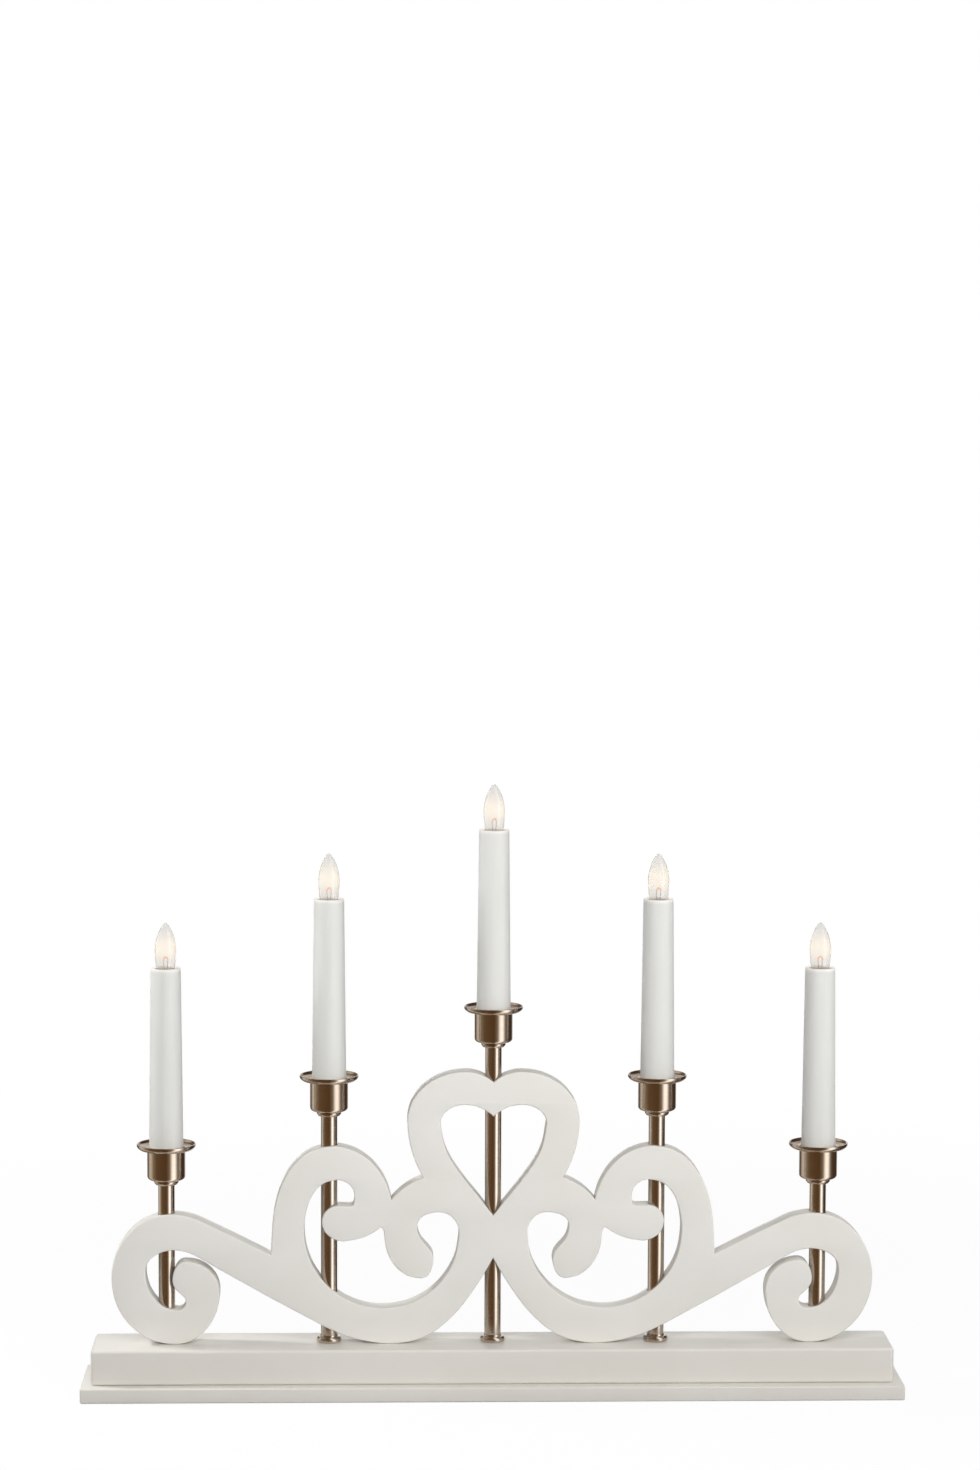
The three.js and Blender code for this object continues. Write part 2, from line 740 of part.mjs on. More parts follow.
for (const { name, x, rim } of candles) {
  const foot = new THREE.Group();
  foot.position.x = x;
  foot.add(piece(`stem_tube_${name}`, stemTube(rim), 'brushedNickel'));
  foot.add(piece(`stem_nut_${name}`, stemNut(), 'zincSteel'));
  if (Math.abs(x) < outerStemX) {
    foot.add(piece(`stem_collar_${name}`, stemCollar(), 'brushedNickel'));
  }
  holder.add(foot);

  const candle = new THREE.Group();
  candle.position.set(x, 0, rim);
  candle.add(piece(`candle_cup_${name}`, candleCup(), 'brushedNickel'));
  candle.add(piece(`lampholder_${name}`, lampholder(), 'holderPlastic'));
  candle.add(piece(`candle_sleeve_${name}`, candleSleeve(), 'candlePlastic'));
  candle.add(piece(`screw_shell_${name}`, screwShell(), 'brass'));
  candle.add(piece(`centre_contact_${name}`, centreContact(), 'brass'));
  candle.add(piece(`bulb_cap_${name}`, bulbCap(), 'brass'));
  candle.add(piece(`bulb_glass_${name}`, bulbGlass(), 'clearGlass'));
  candle.add(piece(`bulb_filament_${name}`, bulbFilament(), 'glowingWire'));
  holder.add(candle);
}

export default holder;
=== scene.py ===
"""The looks of an advent candle holder: five electric candles that rise through a fretted scroll board.

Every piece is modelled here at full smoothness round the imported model, which gives the places. The sizes
in the classes are millimetres, as on a drawing, and become metres when a piece is placed. Heights of the
pieces in a candle count from the plane of its cup's rim, and those of the base from its underside.
"""

import logging
import math
from collections.abc import Iterable, Sequence
from dataclasses import dataclass
from enum import Enum

import bmesh
import bpy
from mathutils import Matrix, Vector


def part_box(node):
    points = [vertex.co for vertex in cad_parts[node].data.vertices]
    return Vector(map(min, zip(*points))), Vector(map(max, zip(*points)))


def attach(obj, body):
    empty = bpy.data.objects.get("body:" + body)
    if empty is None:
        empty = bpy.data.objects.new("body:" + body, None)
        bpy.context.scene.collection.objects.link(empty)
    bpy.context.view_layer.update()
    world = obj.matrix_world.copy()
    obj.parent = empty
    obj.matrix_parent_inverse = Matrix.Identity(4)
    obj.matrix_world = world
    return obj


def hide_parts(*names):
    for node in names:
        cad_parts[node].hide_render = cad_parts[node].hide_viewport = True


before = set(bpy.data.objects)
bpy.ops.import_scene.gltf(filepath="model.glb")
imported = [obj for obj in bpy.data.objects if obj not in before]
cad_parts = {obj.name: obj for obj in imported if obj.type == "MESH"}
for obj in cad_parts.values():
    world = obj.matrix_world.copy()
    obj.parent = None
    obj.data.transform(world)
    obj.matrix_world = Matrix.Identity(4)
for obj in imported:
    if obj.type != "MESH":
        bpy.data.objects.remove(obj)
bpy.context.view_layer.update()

LOG = logging.getLogger("candle_holder")
MM = 0.001
ROOT_BODY = "holder"

Colour = tuple[float, float, float]
Point = tuple[float, float]


class Grain(Enum):
    """Which way the fine marks of a finish run."""

    LENGTHWAYS = (0.03, 1.0, 1.0)
    ROUND_THE_AXIS = (0.02, 0.02, 1.0)
    NONE = (1.0, 1.0, 1.0)


class Paintwork(Enum):
    """The two kinds of surface under the base's white paint."""

    FACE = "face"
    CUT_EDGE = "cut_edge"


class Graph:
    """One node tree, with short calls that add its nodes and join them."""

    def __init__(self, owner: bpy.types.Material | bpy.types.World) -> None:
        """Starts on the tree of a new material or world.

        Args:
            owner: the material, whose surface is one principled shader, or the world.
        """
        owner.use_nodes = True
        self.owner = owner
        self.tree = owner.node_tree
        self.shader = self.tree.nodes.get("Principled BSDF")

    @classmethod
    def material(cls, name: str) -> "Graph":
        """Returns the graph of a new material with this name."""
        return cls(bpy.data.materials.new(name))

    def add(self, kind: str, settings: dict | None = None, inputs: dict | None = None) -> bpy.types.Node:
        """Adds a node.

        Args:
            kind: the node's type without its ShaderNode prefix.
            settings: the node's own properties.
            inputs: a value or an output socket for each input, by the input's name or number.

        Returns:
            The new node.
        """
        node = self.tree.nodes.new(f"ShaderNode{kind}")
        for name, value in (settings or {}).items():
            setattr(node, name, value)
        self.feed(node, inputs or {})
        return node

    def feed(self, node: bpy.types.Node, inputs: dict) -> None:
        """Sets or joins inputs of a node.

        Args:
            node: the node to feed.
            inputs: a value or an output socket for each input, by the input's name or number.
        """
        for name, value in inputs.items():
            socket = node.inputs[name]
            if isinstance(value, bpy.types.NodeSocket):
                self.tree.links.new(value, socket)
            else:
                socket.default_value = value

    def place(self, coordinates: str = "Object", scale: Colour = (1.0, 1.0, 1.0)) -> bpy.types.NodeSocket:
        """Gives a position on the surface.

        Args:
            coordinates: Object for metres in the frame, Generated for shares of the piece's own box.
            scale: how much the position is stretched along each axis.

        Returns:
            The stretched position.
        """
        source = self.add("TexCoord").outputs[coordinates]
        return self.add("Mapping", inputs={"Vector": source, "Scale": scale}).outputs["Vector"]

    def noise(self, place: bpy.types.NodeSocket, scale: float, detail: float = 2.0) -> bpy.types.NodeSocket:
        """Gives a soft random pattern.

        Args:
            place: the position to read it at.
            scale: spots for each metre.
            detail: how many finer layers it has.

        Returns:
            A factor round a half.
        """
        return self.add("TexNoise", inputs={"Vector": place, "Scale": scale, "Detail": detail}).outputs[0]

    def spread(
        self, value: bpy.types.NodeSocket, source: Point, target: Point, smooth: bool = False
    ) -> bpy.types.NodeSocket:
        """Maps a factor from one range to another and holds it there.

        Args:
            value: the factor.
            source: the range that it comes in.
            target: the range that it leaves in.
            smooth: whether the ends are eased.

        Returns:
            The mapped factor.
        """
        settings = {"interpolation_type": "SMOOTHSTEP" if smooth else "LINEAR"}
        inputs = {"Value": value, 1: source[0], 2: source[1], 3: target[0], 4: target[1]}
        return self.add("MapRange", settings, inputs).outputs[0]

    def rays(self) -> tuple[bpy.types.Node, bpy.types.NodeSocket, bpy.types.NodeSocket]:
        """Tells the rays apart. Those through glass count as glossy too, so they are taken out there.

        Returns:
            The light path, 1 for rays that look from the camera or through glass, and 1 for mirrored rays.
        """
        path = self.add("LightPath")
        through = path.outputs["Is Transmission Ray"]
        seen = self.add("Math", {"operation": "MAXIMUM"}, {0: path.outputs["Is Camera Ray"], 1: through})
        mirrored = self.add("Math", {"operation": "SUBTRACT"}, {0: path.outputs["Is Glossy Ray"], 1: through})
        mirrored.use_clamp = True
        return path, seen.outputs[0], mirrored.outputs[0]

    def mix(self, factor: bpy.types.NodeSocket, first: Colour, second: Colour) -> bpy.types.NodeSocket:
        """Blends two colours.

        Args:
            factor: 0 for the first colour and 1 for the second.
            first: one colour.
            second: the other colour.

        Returns:
            The blended colour.
        """
        inputs = {0: factor, 6: (*first, 1.0), 7: (*second, 1.0)}
        return self.add("Mix", {"data_type": "RGBA"}, inputs).outputs[2]

    def bump(self, height: bpy.types.NodeSocket, depth: float, strength: float = 1.0) -> None:
        """Raises the surface by a pattern.

        Args:
            height: the pattern, from 0 to 1.
            depth: how far 1 stands above 0, in metres.
            strength: how much of it shows.
        """
        inputs = {"Height": height, "Distance": depth, "Strength": strength}
        earlier = self.shader.inputs["Normal"].links
        if earlier:
            inputs["Normal"] = earlier[0].from_socket
        node = self.add("Bump", inputs=inputs)
        self.feed(self.shader, {"Normal": node.outputs["Normal"]})


@dataclass(frozen=True)
class Finish:
    """What every finish has: a name, the record's slot for it and its main colour."""

    name: str
    slot: str
    colour: Colour

    def material(self) -> bpy.types.Material:
        """Returns the finish's material, which is made on first use."""
        return bpy.data.materials.get(self.name) or self.make()

    def make(self) -> bpy.types.Material:
        """Makes the material. Each kind of finish has its own way."""
        raise NotImplementedError


@dataclass(frozen=True)
class WhitePaint(Finish):
    """Satin white paint on wood, with the faint skin of a sprayed coat."""

    shade: Colour
    work: Paintwork
    grain: Grain
    roughness: Point = (0.38, 0.48)
    skin_depth: float = 0.00004
    fibre_depth: float = 0.00003

    def make(self) -> bpy.types.Material:
        """Makes a paint with soft clouds of tone, a sprayed skin and the fibres under it.

        Returns:
            The material.
        """
        graph = Graph.material(self.name)
        place = graph.place()
        clouds = graph.noise(place, 16.0, 3.0)
        tone = graph.mix(graph.spread(clouds, (0.35, 0.65), (0.0, 1.0), True), self.colour, self.shade)
        sheen = graph.spread(graph.noise(place, 120.0, 3.0), (0.3, 0.7), self.roughness)
        graph.feed(graph.shader, {"Base Color": tone, "Roughness": sheen, "Coat Weight": 0.12})
        graph.feed(graph.shader, {"Coat Roughness": 0.3})
        graph.bump(graph.noise(place, 900.0, 2.0), self.skin_depth)
        fibres = graph.noise(graph.place("Object", self.grain.value), 700.0, 4.0)
        cut = 2.0 if self.work is Paintwork.CUT_EDGE else 1.0
        graph.bump(fibres, self.fibre_depth * cut)
        return graph.owner


@dataclass(frozen=True)
class BrushedMetal(Finish):
    """Turned or drawn metal with fine brush lines and a slight bronze patina."""

    patina: Colour
    grain: Grain = Grain.ROUND_THE_AXIS
    roughness: Point = (0.17, 0.27)
    line_depth: float = 0.000003

    def make(self) -> bpy.types.Material:
        """Makes a metal whose brush lines carry its colour, roughness and relief.

        Returns:
            The material.
        """
        graph = Graph.material(self.name)
        lines = graph.noise(graph.place("Object", self.grain.value), 4200.0, 6.0)
        clouds = graph.noise(graph.place(), 45.0, 4.0)
        streaks = graph.spread(lines, (0.35, 0.7), (0.0, 0.4))
        patches = graph.spread(clouds, (0.3, 0.7), (0.0, 0.4), True)
        mottle = graph.add("Math", {"operation": "ADD"}, {0: streaks, 1: patches}).outputs[0]
        graph.feed(graph.shader, {
            "Base Color": graph.mix(mottle, self.colour, self.patina),
            "Roughness": graph.spread(lines, (0.3, 0.7), self.roughness),
            "Metallic": 1.0,
            "Anisotropic": 0.8,
            "Anisotropic Rotation": 0.25,
            "Tangent": graph.add("Tangent", {"direction_type": "RADIAL", "axis": "Z"}).outputs[0],
        })
        graph.bump(lines, self.line_depth)
        return graph.owner


@dataclass(frozen=True)
class CandlePlastic(Finish):
    """Translucent white plastic, with warm light painted round its top as emission, in place of the lamp's light
    through it.
    """

    painted_glow: Colour
    glow_reach: float = 0.022
    depth: float = 0.0012

    def make(self) -> bpy.types.Material:
        """Makes a plastic that passes some light, with warm light painted at its top end as emission.

        Returns:
            The material.
        """
        graph = Graph.material(self.name)
        place = graph.place()
        drawn = graph.noise(graph.place("Object", (1.0, 1.0, 0.08)), 260.0, 3.0)
        shade = tuple(part * 0.965 for part in self.colour)
        # Painted light: emission that grows towards the top end, standing in for the lamp's light through the
        # plastic.
        height = graph.add("SeparateXYZ", inputs={0: graph.place("Generated")}).outputs["Z"]
        warm = graph.spread(height, (1.0 - self.glow_reach, 1.0), (0.0, 1.0))
        painted_light_falloff = graph.add("Math", {"operation": "POWER"}, {0: warm, 1: 1.3}).outputs[0]
        graph.feed(graph.shader, {
            "Base Color": graph.mix(graph.spread(drawn, (0.3, 0.7), (0.0, 1.0)), self.colour, shade),
            "Roughness": graph.spread(graph.noise(place, 300.0), (0.3, 0.7), (0.42, 0.52)),
            "Specular IOR Level": 0.35,
            "Subsurface Weight": 0.15,
            "Subsurface Radius": (self.depth, self.depth * 0.9, self.depth * 0.8),
            "Subsurface Scale": 1.0,
            "Emission Color": graph.mix(painted_light_falloff, (0.0, 0.0, 0.0), self.painted_glow),
            "Emission Strength": 1.0,
        })
        graph.bump(graph.noise(place, 800.0), 0.000012)
        return graph.owner


@dataclass(frozen=True)
class LampGlass(Finish):
    """Clear thin glass, with warm light painted in it as emission round the filament's height."""

    painted_glow: Colour
    glow_centre: float = 0.62
    glow_spread: float = 0.32

    def make(self) -> bpy.types.Material:
        """Makes a clear glass with soft light painted in it as emission at the filament's height.

        Returns:
            The material.
        """
        graph = Graph.material(self.name)
        height = graph.add("SeparateXYZ", inputs={0: graph.place("Generated")}).outputs["Z"]
        away = graph.add("Math", {"operation": "SUBTRACT"}, {0: height, 1: self.glow_centre}).outputs[0]
        apart = graph.add("Math", {"operation": "ABSOLUTE"}, {0: away}).outputs[0]
        # Painted light: emission strongest at the filament's height and fading above and below it.
        near = graph.spread(apart, (0.0, self.glow_spread), (1.0, 0.0), True)
        ripple = graph.noise(graph.place(), 160.0, 2.0)
        graph.feed(graph.shader, {
            "Base Color": (*self.colour, 1.0),
            "Roughness": graph.spread(ripple, (0.3, 0.7), (0.07, 0.12)),
            "Transmission Weight": 0.93,
            "IOR": 1.45,
            "Emission Color": graph.mix(near, (0.0, 0.0, 0.0), self.painted_glow),
            "Emission Strength": 1.0,
        })
        graph.bump(ripple, 0.000003)
        return graph.owner


@dataclass(frozen=True)
class GlowingWire(Finish):
    """White-hot tungsten."""

    strength: float = 0.7

    def make(self) -> bpy.types.Material:
        """Makes a wire that glows unevenly along its coil.

        Returns:
            The material.
        """
        graph = Graph.material(self.name)
        heat = graph.spread(graph.noise(graph.place(), 1500.0), (0.3, 0.7), (0.0, 1.0))
        dull = tuple(part * 0.7 for part in self.colour)
        graph.feed(graph.shader, {
            "Base Color": graph.mix(heat, self.colour, dull),
            "Roughness": 0.5,
            "Emission Color": graph.mix(heat, self.colour, dull),
            "Emission Strength": self.strength,
        })
        return graph.owner


@dataclass(frozen=True)
class Moulding(Finish):
    """Moulded or drawn plastic with a fine mould texture."""

    roughness: Point = (0.42, 0.58)
    texture: float = 1100.0

    def make(self) -> bpy.types.Material:
        """Makes a plastic with slight clouds of tone and a fine skin.

        Returns:
            The material.
        """
        graph = Graph.material(self.name)
        place = graph.place()
        shade = tuple(part * 0.93 for part in self.colour)
        clouds = graph.spread(graph.noise(place, 90.0, 3.0), (0.35, 0.65), (0.0, 1.0), True)
        graph.feed(graph.shader, {
            "Base Color": graph.mix(clouds, self.colour, shade),
            "Roughness": graph.spread(graph.noise(place, 400.0), (0.3, 0.7), self.roughness),
        })
        graph.bump(graph.noise(place, self.texture), 0.00002)
        return graph.owner


PAINTED_FACE = WhitePaint(
    "white_satin_paint", "painted_wood", (0.83, 0.812, 0.77), (0.81, 0.79, 0.742), Paintwork.FACE, Grain.NONE
)
# The base's paint is the face's white paint made darker: painted shade on the base, with its real lengthways grain.
PAINTED_TIMBER_DARKENED_FOR_SHADE = WhitePaint(
    "white_paint_on_planed_timber_darkened_for_shade", "painted_wood", (0.782, 0.757, 0.706), (0.76, 0.734, 0.68),
    Paintwork.FACE, Grain.LENGTHWAYS
)
PAINTED_EDGE = WhitePaint(
    "white_paint_on_sawn_edge", "painted_wood", (0.83, 0.808, 0.76), (0.79, 0.765, 0.71),
    Paintwork.CUT_EDGE, Grain.NONE, (0.45, 0.6), 0.00006, 0.00008
)
STEM_METAL = BrushedMetal("brushed_bronze_nickel", "brushed_nickel", (0.63, 0.56, 0.49), (0.52, 0.445, 0.37))
CUP_METAL = BrushedMetal("turned_bronze_nickel", "brushed_nickel", (0.59, 0.5, 0.415), (0.47, 0.38, 0.295))
SCREW_STEEL = BrushedMetal("zinc_plate", "zinc_steel", (0.66, 0.67, 0.68), (0.5, 0.51, 0.52))
BRASS = BrushedMetal("plain_brass", "brass", (0.78, 0.62, 0.33), (0.6, 0.44, 0.2))
SOLDER = BrushedMetal("solder", "brass", (0.7, 0.7, 0.68), (0.5, 0.5, 0.48), Grain.NONE, (0.35, 0.5))
# Both sleeve finishes carry painted light: the outside has warm emission round its top, and the inside faces have
# bright emission all over.
SLEEVE = CandlePlastic("candle_white_plastic", "sleeve_plastic", (0.765, 0.765, 0.737), (0.26, 0.21, 0.19))
SLEEVE_INSIDE_PAINTED_GLOW = CandlePlastic("sleeve_inside_painted_glow", "sleeve_plastic", (0.77, 0.765, 0.73), (0.68, 0.64, 0.61))
HOLDER_PLASTIC = Moulding("holder_moulding", "holder_plastic", (0.85, 0.83, 0.78))
INSULATOR = Moulding("cap_insulator", "holder_plastic", (0.06, 0.055, 0.05), (0.2, 0.3))
LEAD_JACKET = Moulding("lead_jacket", "cable_insulation", (0.88, 0.87, 0.84), (0.5, 0.62))
# Both glasses carry painted light: warm emission round the filament's height, in place of its light in the glass.
GLASS = LampGlass("lamp_glass", "bulb_glass", (0.948, 0.934, 0.918), (0.056, 0.043, 0.019))
GLASS_STEM = LampGlass("lamp_stem_glass", "bulb_glass", (0.98, 0.965, 0.95), (0.08, 0.06, 0.04))
TUNGSTEN = GlowingWire("hot_tungsten", "filament_wire", (0.72, 0.4, 0.25))
LEAD_WIRE = BrushedMetal("lead_in_wire", "filament_wire", (0.5, 0.42, 0.36), (0.36, 0.29, 0.24), Grain.NONE)


@dataclass(frozen=True)
class Corner:
    """One corner of a section: how far out, how far up, and the radius that rounds it off."""

    out: float
    up: float
    round: float = 0.0


def rounded(corners: Sequence[Corner], closed: bool, steps: int = 5) -> list[Vector]:
    """Runs through corners with a true arc in place of each one that is rounded.

    Args:
        corners: the section's corners in order.
        closed: whether the last corner joins the first.
        steps: how many steps each arc has.

    Returns:
        The points of the section.
    """
    spots = [Vector((corner.out, corner.up)) for corner in corners]
    points = []
    for index, (corner, here) in enumerate(zip(corners, spots)):
        at_end = not closed and index in (0, len(corners) - 1)
        if corner.round <= 0.0 or at_end:
            points.append(here)
            continue
        arriving = here - spots[index - 1]
        leaving = spots[(index + 1) % len(spots)] - here
        half_turn = arriving.angle(leaving) / 2
        longest = min(arriving.length, leaving.length) / 2
        reach = min(corner.round * math.tan(half_turn), longest)
        start = here - arriving.normalized() * reach
        end = here + leaving.normalized() * reach
        weight = math.cos(half_turn)
        for step in range(steps + 1):
            t = step / steps
            parts = ((1 - t) ** 2, 2 * weight * t * (1 - t), t**2)
            points.append((start * parts[0] + here * parts[1] + end * parts[2]) / sum(parts))
    return points


def smooth_line(points: Sequence[Vector], steps: int = 6) -> list[Vector]:
    """Runs a smooth curve through points.

    Args:
        points: the points that it passes, in order.
        steps: how many steps it takes from one to the next.

    Returns:
        The curve's points, with both ends.
    """
    padded = [2 * points[0] - points[1], *points, 2 * points[-1] - points[-2]]
    curve = [points[0]]
    for before, start, end, after in zip(padded, padded[1:], padded[2:], padded[3:]):
        for step in range(1, steps + 1):
            t = step / steps
            curve.append(0.5 * (
                2 * start
                + (end - before) * t
                + (2 * before - 5 * start + 4 * end - after) * t**2
                + (3 * start - before - 3 * end + after) * t**3
            ))
    return curve


def shade(mesh: bpy.types.Mesh, sharp_above: float = 40.0) -> bpy.types.Mesh:
    """Turns a mesh's faces outward and shades it smoothly between its sharp edges.

    Args:
        mesh: the mesh.
        sharp_above: the angle in degrees past which an edge stays sharp.

    Returns:
        The same mesh.
    """
    working = bmesh.new()
    working.from_mesh(mesh)
    bmesh.ops.recalc_face_normals(working, faces=working.faces)
    working.to_mesh(mesh)
    working.free()
    mesh.shade_smooth()
    mesh.set_sharp_from_angle(angle=math.radians(sharp_above))
    return mesh


def mesh_of(name: str, points: Sequence[Vector], faces: Sequence[Sequence[int]]) -> bpy.types.Mesh:
    """Makes a mesh.

    Args:
        name: the mesh's name.
        points: its vertices.
        faces: its faces, as vertex numbers.

    Returns:
        The mesh, shaded.
    """
    mesh = bpy.data.meshes.new(name)
    mesh.from_pydata([tuple(point) for point in points], [], faces)
    return shade(mesh)


def grid_faces(rows: int, columns: int, loop_rows: bool, loop_columns: bool) -> list[tuple[int, ...]]:
    """Joins rows of vertices with quads.

    Args:
        rows: how many rows there are.
        columns: how many vertices a row has.
        loop_rows: whether the last row joins the first.
        loop_columns: whether a row's last vertex joins its first.

    Returns:
        The quads.
    """
    faces = []
    for row in range(rows if loop_rows else rows - 1):
        for column in range(columns if loop_columns else columns - 1):
            here, across = row * columns + column, row * columns + (column + 1) % columns
            lift = ((row + 1) % rows - row) * columns
            faces.append((here, across, across + lift, here + lift))
    return faces


def turned(name: str, corners: Sequence[Corner], closed: bool = True, sides: int = 72) -> bpy.types.Mesh:
    """Turns a section round the upright axis.

    Args:
        name: the mesh's name.
        corners: the section. An open one starts and ends on the axis.
        closed: whether the section joins itself.
        sides: how many steps the turn has.

    Returns:
        The turned mesh.
    """
    section = rounded(corners, closed)
    points = []
    for radius, height in section:
        for side in range(sides):
            angle = 2 * math.pi * side / sides
            points.append(Vector((radius * math.cos(angle), radius * math.sin(angle), height)))
    mesh = mesh_of(name, points, grid_faces(len(section), sides, closed, True))
    working = bmesh.new()
    working.from_mesh(mesh)
    bmesh.ops.remove_doubles(working, verts=working.verts, dist=1e-4)
    working.to_mesh(mesh)
    working.free()
    return shade(mesh)


def rod(name: str, radius: float, bottom: float, top: float, sides: int = 48) -> bpy.types.Mesh:
    """Makes a plain round solid to cut with.

    Args:
        name: the mesh's name.
        radius: its radius.
        bottom: its lowest height.
        top: its highest height.
        sides: how many sides it has.

    Returns:
        The mesh.
    """
    corners = [Corner(0, bottom), Corner(radius, bottom), Corner(radius, top), Corner(0, top)]
    return turned(name, corners, closed=False, sides=sides)


def slab(name: str, low: Vector, high: Vector, corner: float = 0.0, edge: float = 0.0) -> bpy.types.Mesh:
    """Makes a block whose upright corners and level edges are rounded.

    Args:
        name: the mesh's name.
        low: its lowest corner.
        high: its highest corner.
        corner: the radius of its upright corners.
        edge: the radius of its top and bottom edges.

    Returns:
        The mesh.
    """
    working = bmesh.new()
    spread = Matrix.Translation((low + high) / 2) @ Matrix.Diagonal((*(high - low), 1.0))
    bmesh.ops.create_cube(working, size=1.0, matrix=spread)
    for radius, upright, segments in ((corner, True, 8), (edge, False, 6)):
        edges = [e for e in working.edges if (abs(e.verts[0].co.z - e.verts[1].co.z) > 1e-4) == upright]
        if radius > 0.0:
            bmesh.ops.bevel(
                working, geom=edges, offset=radius, segments=segments, profile=0.5, affect="EDGES"
            )
    mesh = bpy.data.meshes.new(name)
    working.to_mesh(mesh)
    working.free()
    return shade(mesh, 30.0)


def tube(name: str, path: Sequence[Vector], radius: float, sides: int = 12) -> bpy.types.Mesh:
    """Makes a round wire along a path, with flat ends.

    Args:
        name: the mesh's name.
        path: the points of its middle line.
        radius: its radius.
        sides: how many sides it has.

    Returns:
        The mesh.
    """
    points = []
    across = (path[1] - path[0]).orthogonal().normalized()
    for index, spot in enumerate(path):
        ahead = (path[min(index + 1, len(path) - 1)] - path[max(index - 1, 0)]).normalized()
        across = (across - ahead * across.dot(ahead)).normalized()
        upward = ahead.cross(across)
        for side in range(sides):
            angle = 2 * math.pi * side / sides
            points.append(spot + radius * (math.cos(angle) * across + math.sin(angle) * upward))
    faces = grid_faces(len(path), sides, False, True)
    faces += [tuple(range(sides)), tuple(range(len(points) - sides, len(points)))]
    return mesh_of(name, points, faces)


def moved(mesh: bpy.types.Mesh, x: float = 0.0, y: float = 0.0, z: float = 0.0) -> bpy.types.Mesh:
    """Moves a mesh and returns it."""
    mesh.transform(Matrix.Translation((x, y, z)))
    return mesh


def facing_back(mesh: bpy.types.Mesh) -> bpy.types.Mesh:
    """Lays an upright mesh down so that its top faces the back, and returns it."""
    mesh.transform(Matrix.Rotation(-math.pi / 2, 4, "X"))
    return mesh


def joined(name: str, meshes: Iterable[bpy.types.Mesh]) -> bpy.types.Mesh:
    """Puts several meshes into one.

    Args:
        name: the new mesh's name.
        meshes: the meshes, which are used up.

    Returns:
        The new mesh.
    """
    working = bmesh.new()
    for mesh in meshes:
        working.from_mesh(mesh)
        bpy.data.meshes.remove(mesh)
    whole = bpy.data.meshes.new(name)
    working.to_mesh(whole)
    working.free()
    return shade(whole)


def cut(mesh: bpy.types.Mesh, cutters: Iterable[bpy.types.Mesh]) -> bpy.types.Mesh:
    """Takes cutters out of a mesh.

    Args:
        mesh: the mesh to cut, which is used up.
        cutters: closed meshes, which are used up.

    Returns:
        The cut mesh.
    """
    scene = bpy.context.scene.collection
    work = bpy.data.objects.new("work", mesh)
    scene.objects.link(work)
    tools = []
    for cutter in cutters:
        tool = bpy.data.objects.new("tool", cutter)
        scene.objects.link(tool)
        tools.append(tool)
        modifier = work.modifiers.new("cut", "BOOLEAN")
        modifier.operation = "DIFFERENCE"
        modifier.solver = "EXACT"
        modifier.object = tool
    graph = bpy.context.evaluated_depsgraph_get()
    result = bpy.data.meshes.new_from_object(work.evaluated_get(graph))
    result.name = mesh.name
    for thing in (work, *tools):
        used = thing.data
        bpy.data.objects.remove(thing)
        bpy.data.meshes.remove(used)
    return shade(result, 30.0)


def install(
    name: str, mesh: bpy.types.Mesh, finish: Finish, body: str = ROOT_BODY, nodes: Sequence[str] = ()
) -> bpy.types.Object:
    """Places a finished mesh as a piece of the object.

    Args:
        name: the piece's name.
        mesh: its mesh in millimetres, in place.
        finish: its finish.
        body: the body that carries it.
        nodes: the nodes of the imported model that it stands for.

    Returns:
        The piece.
    """
    mesh.transform(Matrix.Scale(MM, 4))
    mesh.name = name
    if not mesh.materials:
        mesh.materials.append(finish.material())
    piece = bpy.data.objects.new(name, mesh)
    bpy.context.scene.collection.objects.link(piece)
    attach(piece, body)
    if nodes:
        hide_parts(*nodes)
    LOG.info("%s: %d faces, finish %s, on %s", name, len(mesh.polygons), finish.name, body)
    return piece


def node_box(node: str) -> tuple[Vector, Vector]:
    """Gives a node's lowest and highest corners.

    Args:
        node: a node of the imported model.

    Returns:
        Both corners, in millimetres.
    """
    low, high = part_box(node)
    return low / MM, high / MM


@dataclass(frozen=True)
class Stand:
    """Where one candle stands: its number, its stem's axis and reach, and the height of its cup's rim."""

    number: int
    x: float
    stem_base: float
    stem_top: float
    rim: float

    @classmethod
    def read(cls, number: int, rim_bead: float) -> "Stand":
        """Reads a candle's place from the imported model.

        Args:
            number: the candle's number, from the left.
            rim_bead: the radius of the bead round its cup's rim.

        Returns:
            The place.
        """
        low, high = node_box(f"stem_tube_{number}")
        rim = node_box(f"candle_cup_{number}")[1].z - rim_bead
        return cls(number, (low.x + high.x) / 2, low.z, high.z, rim)


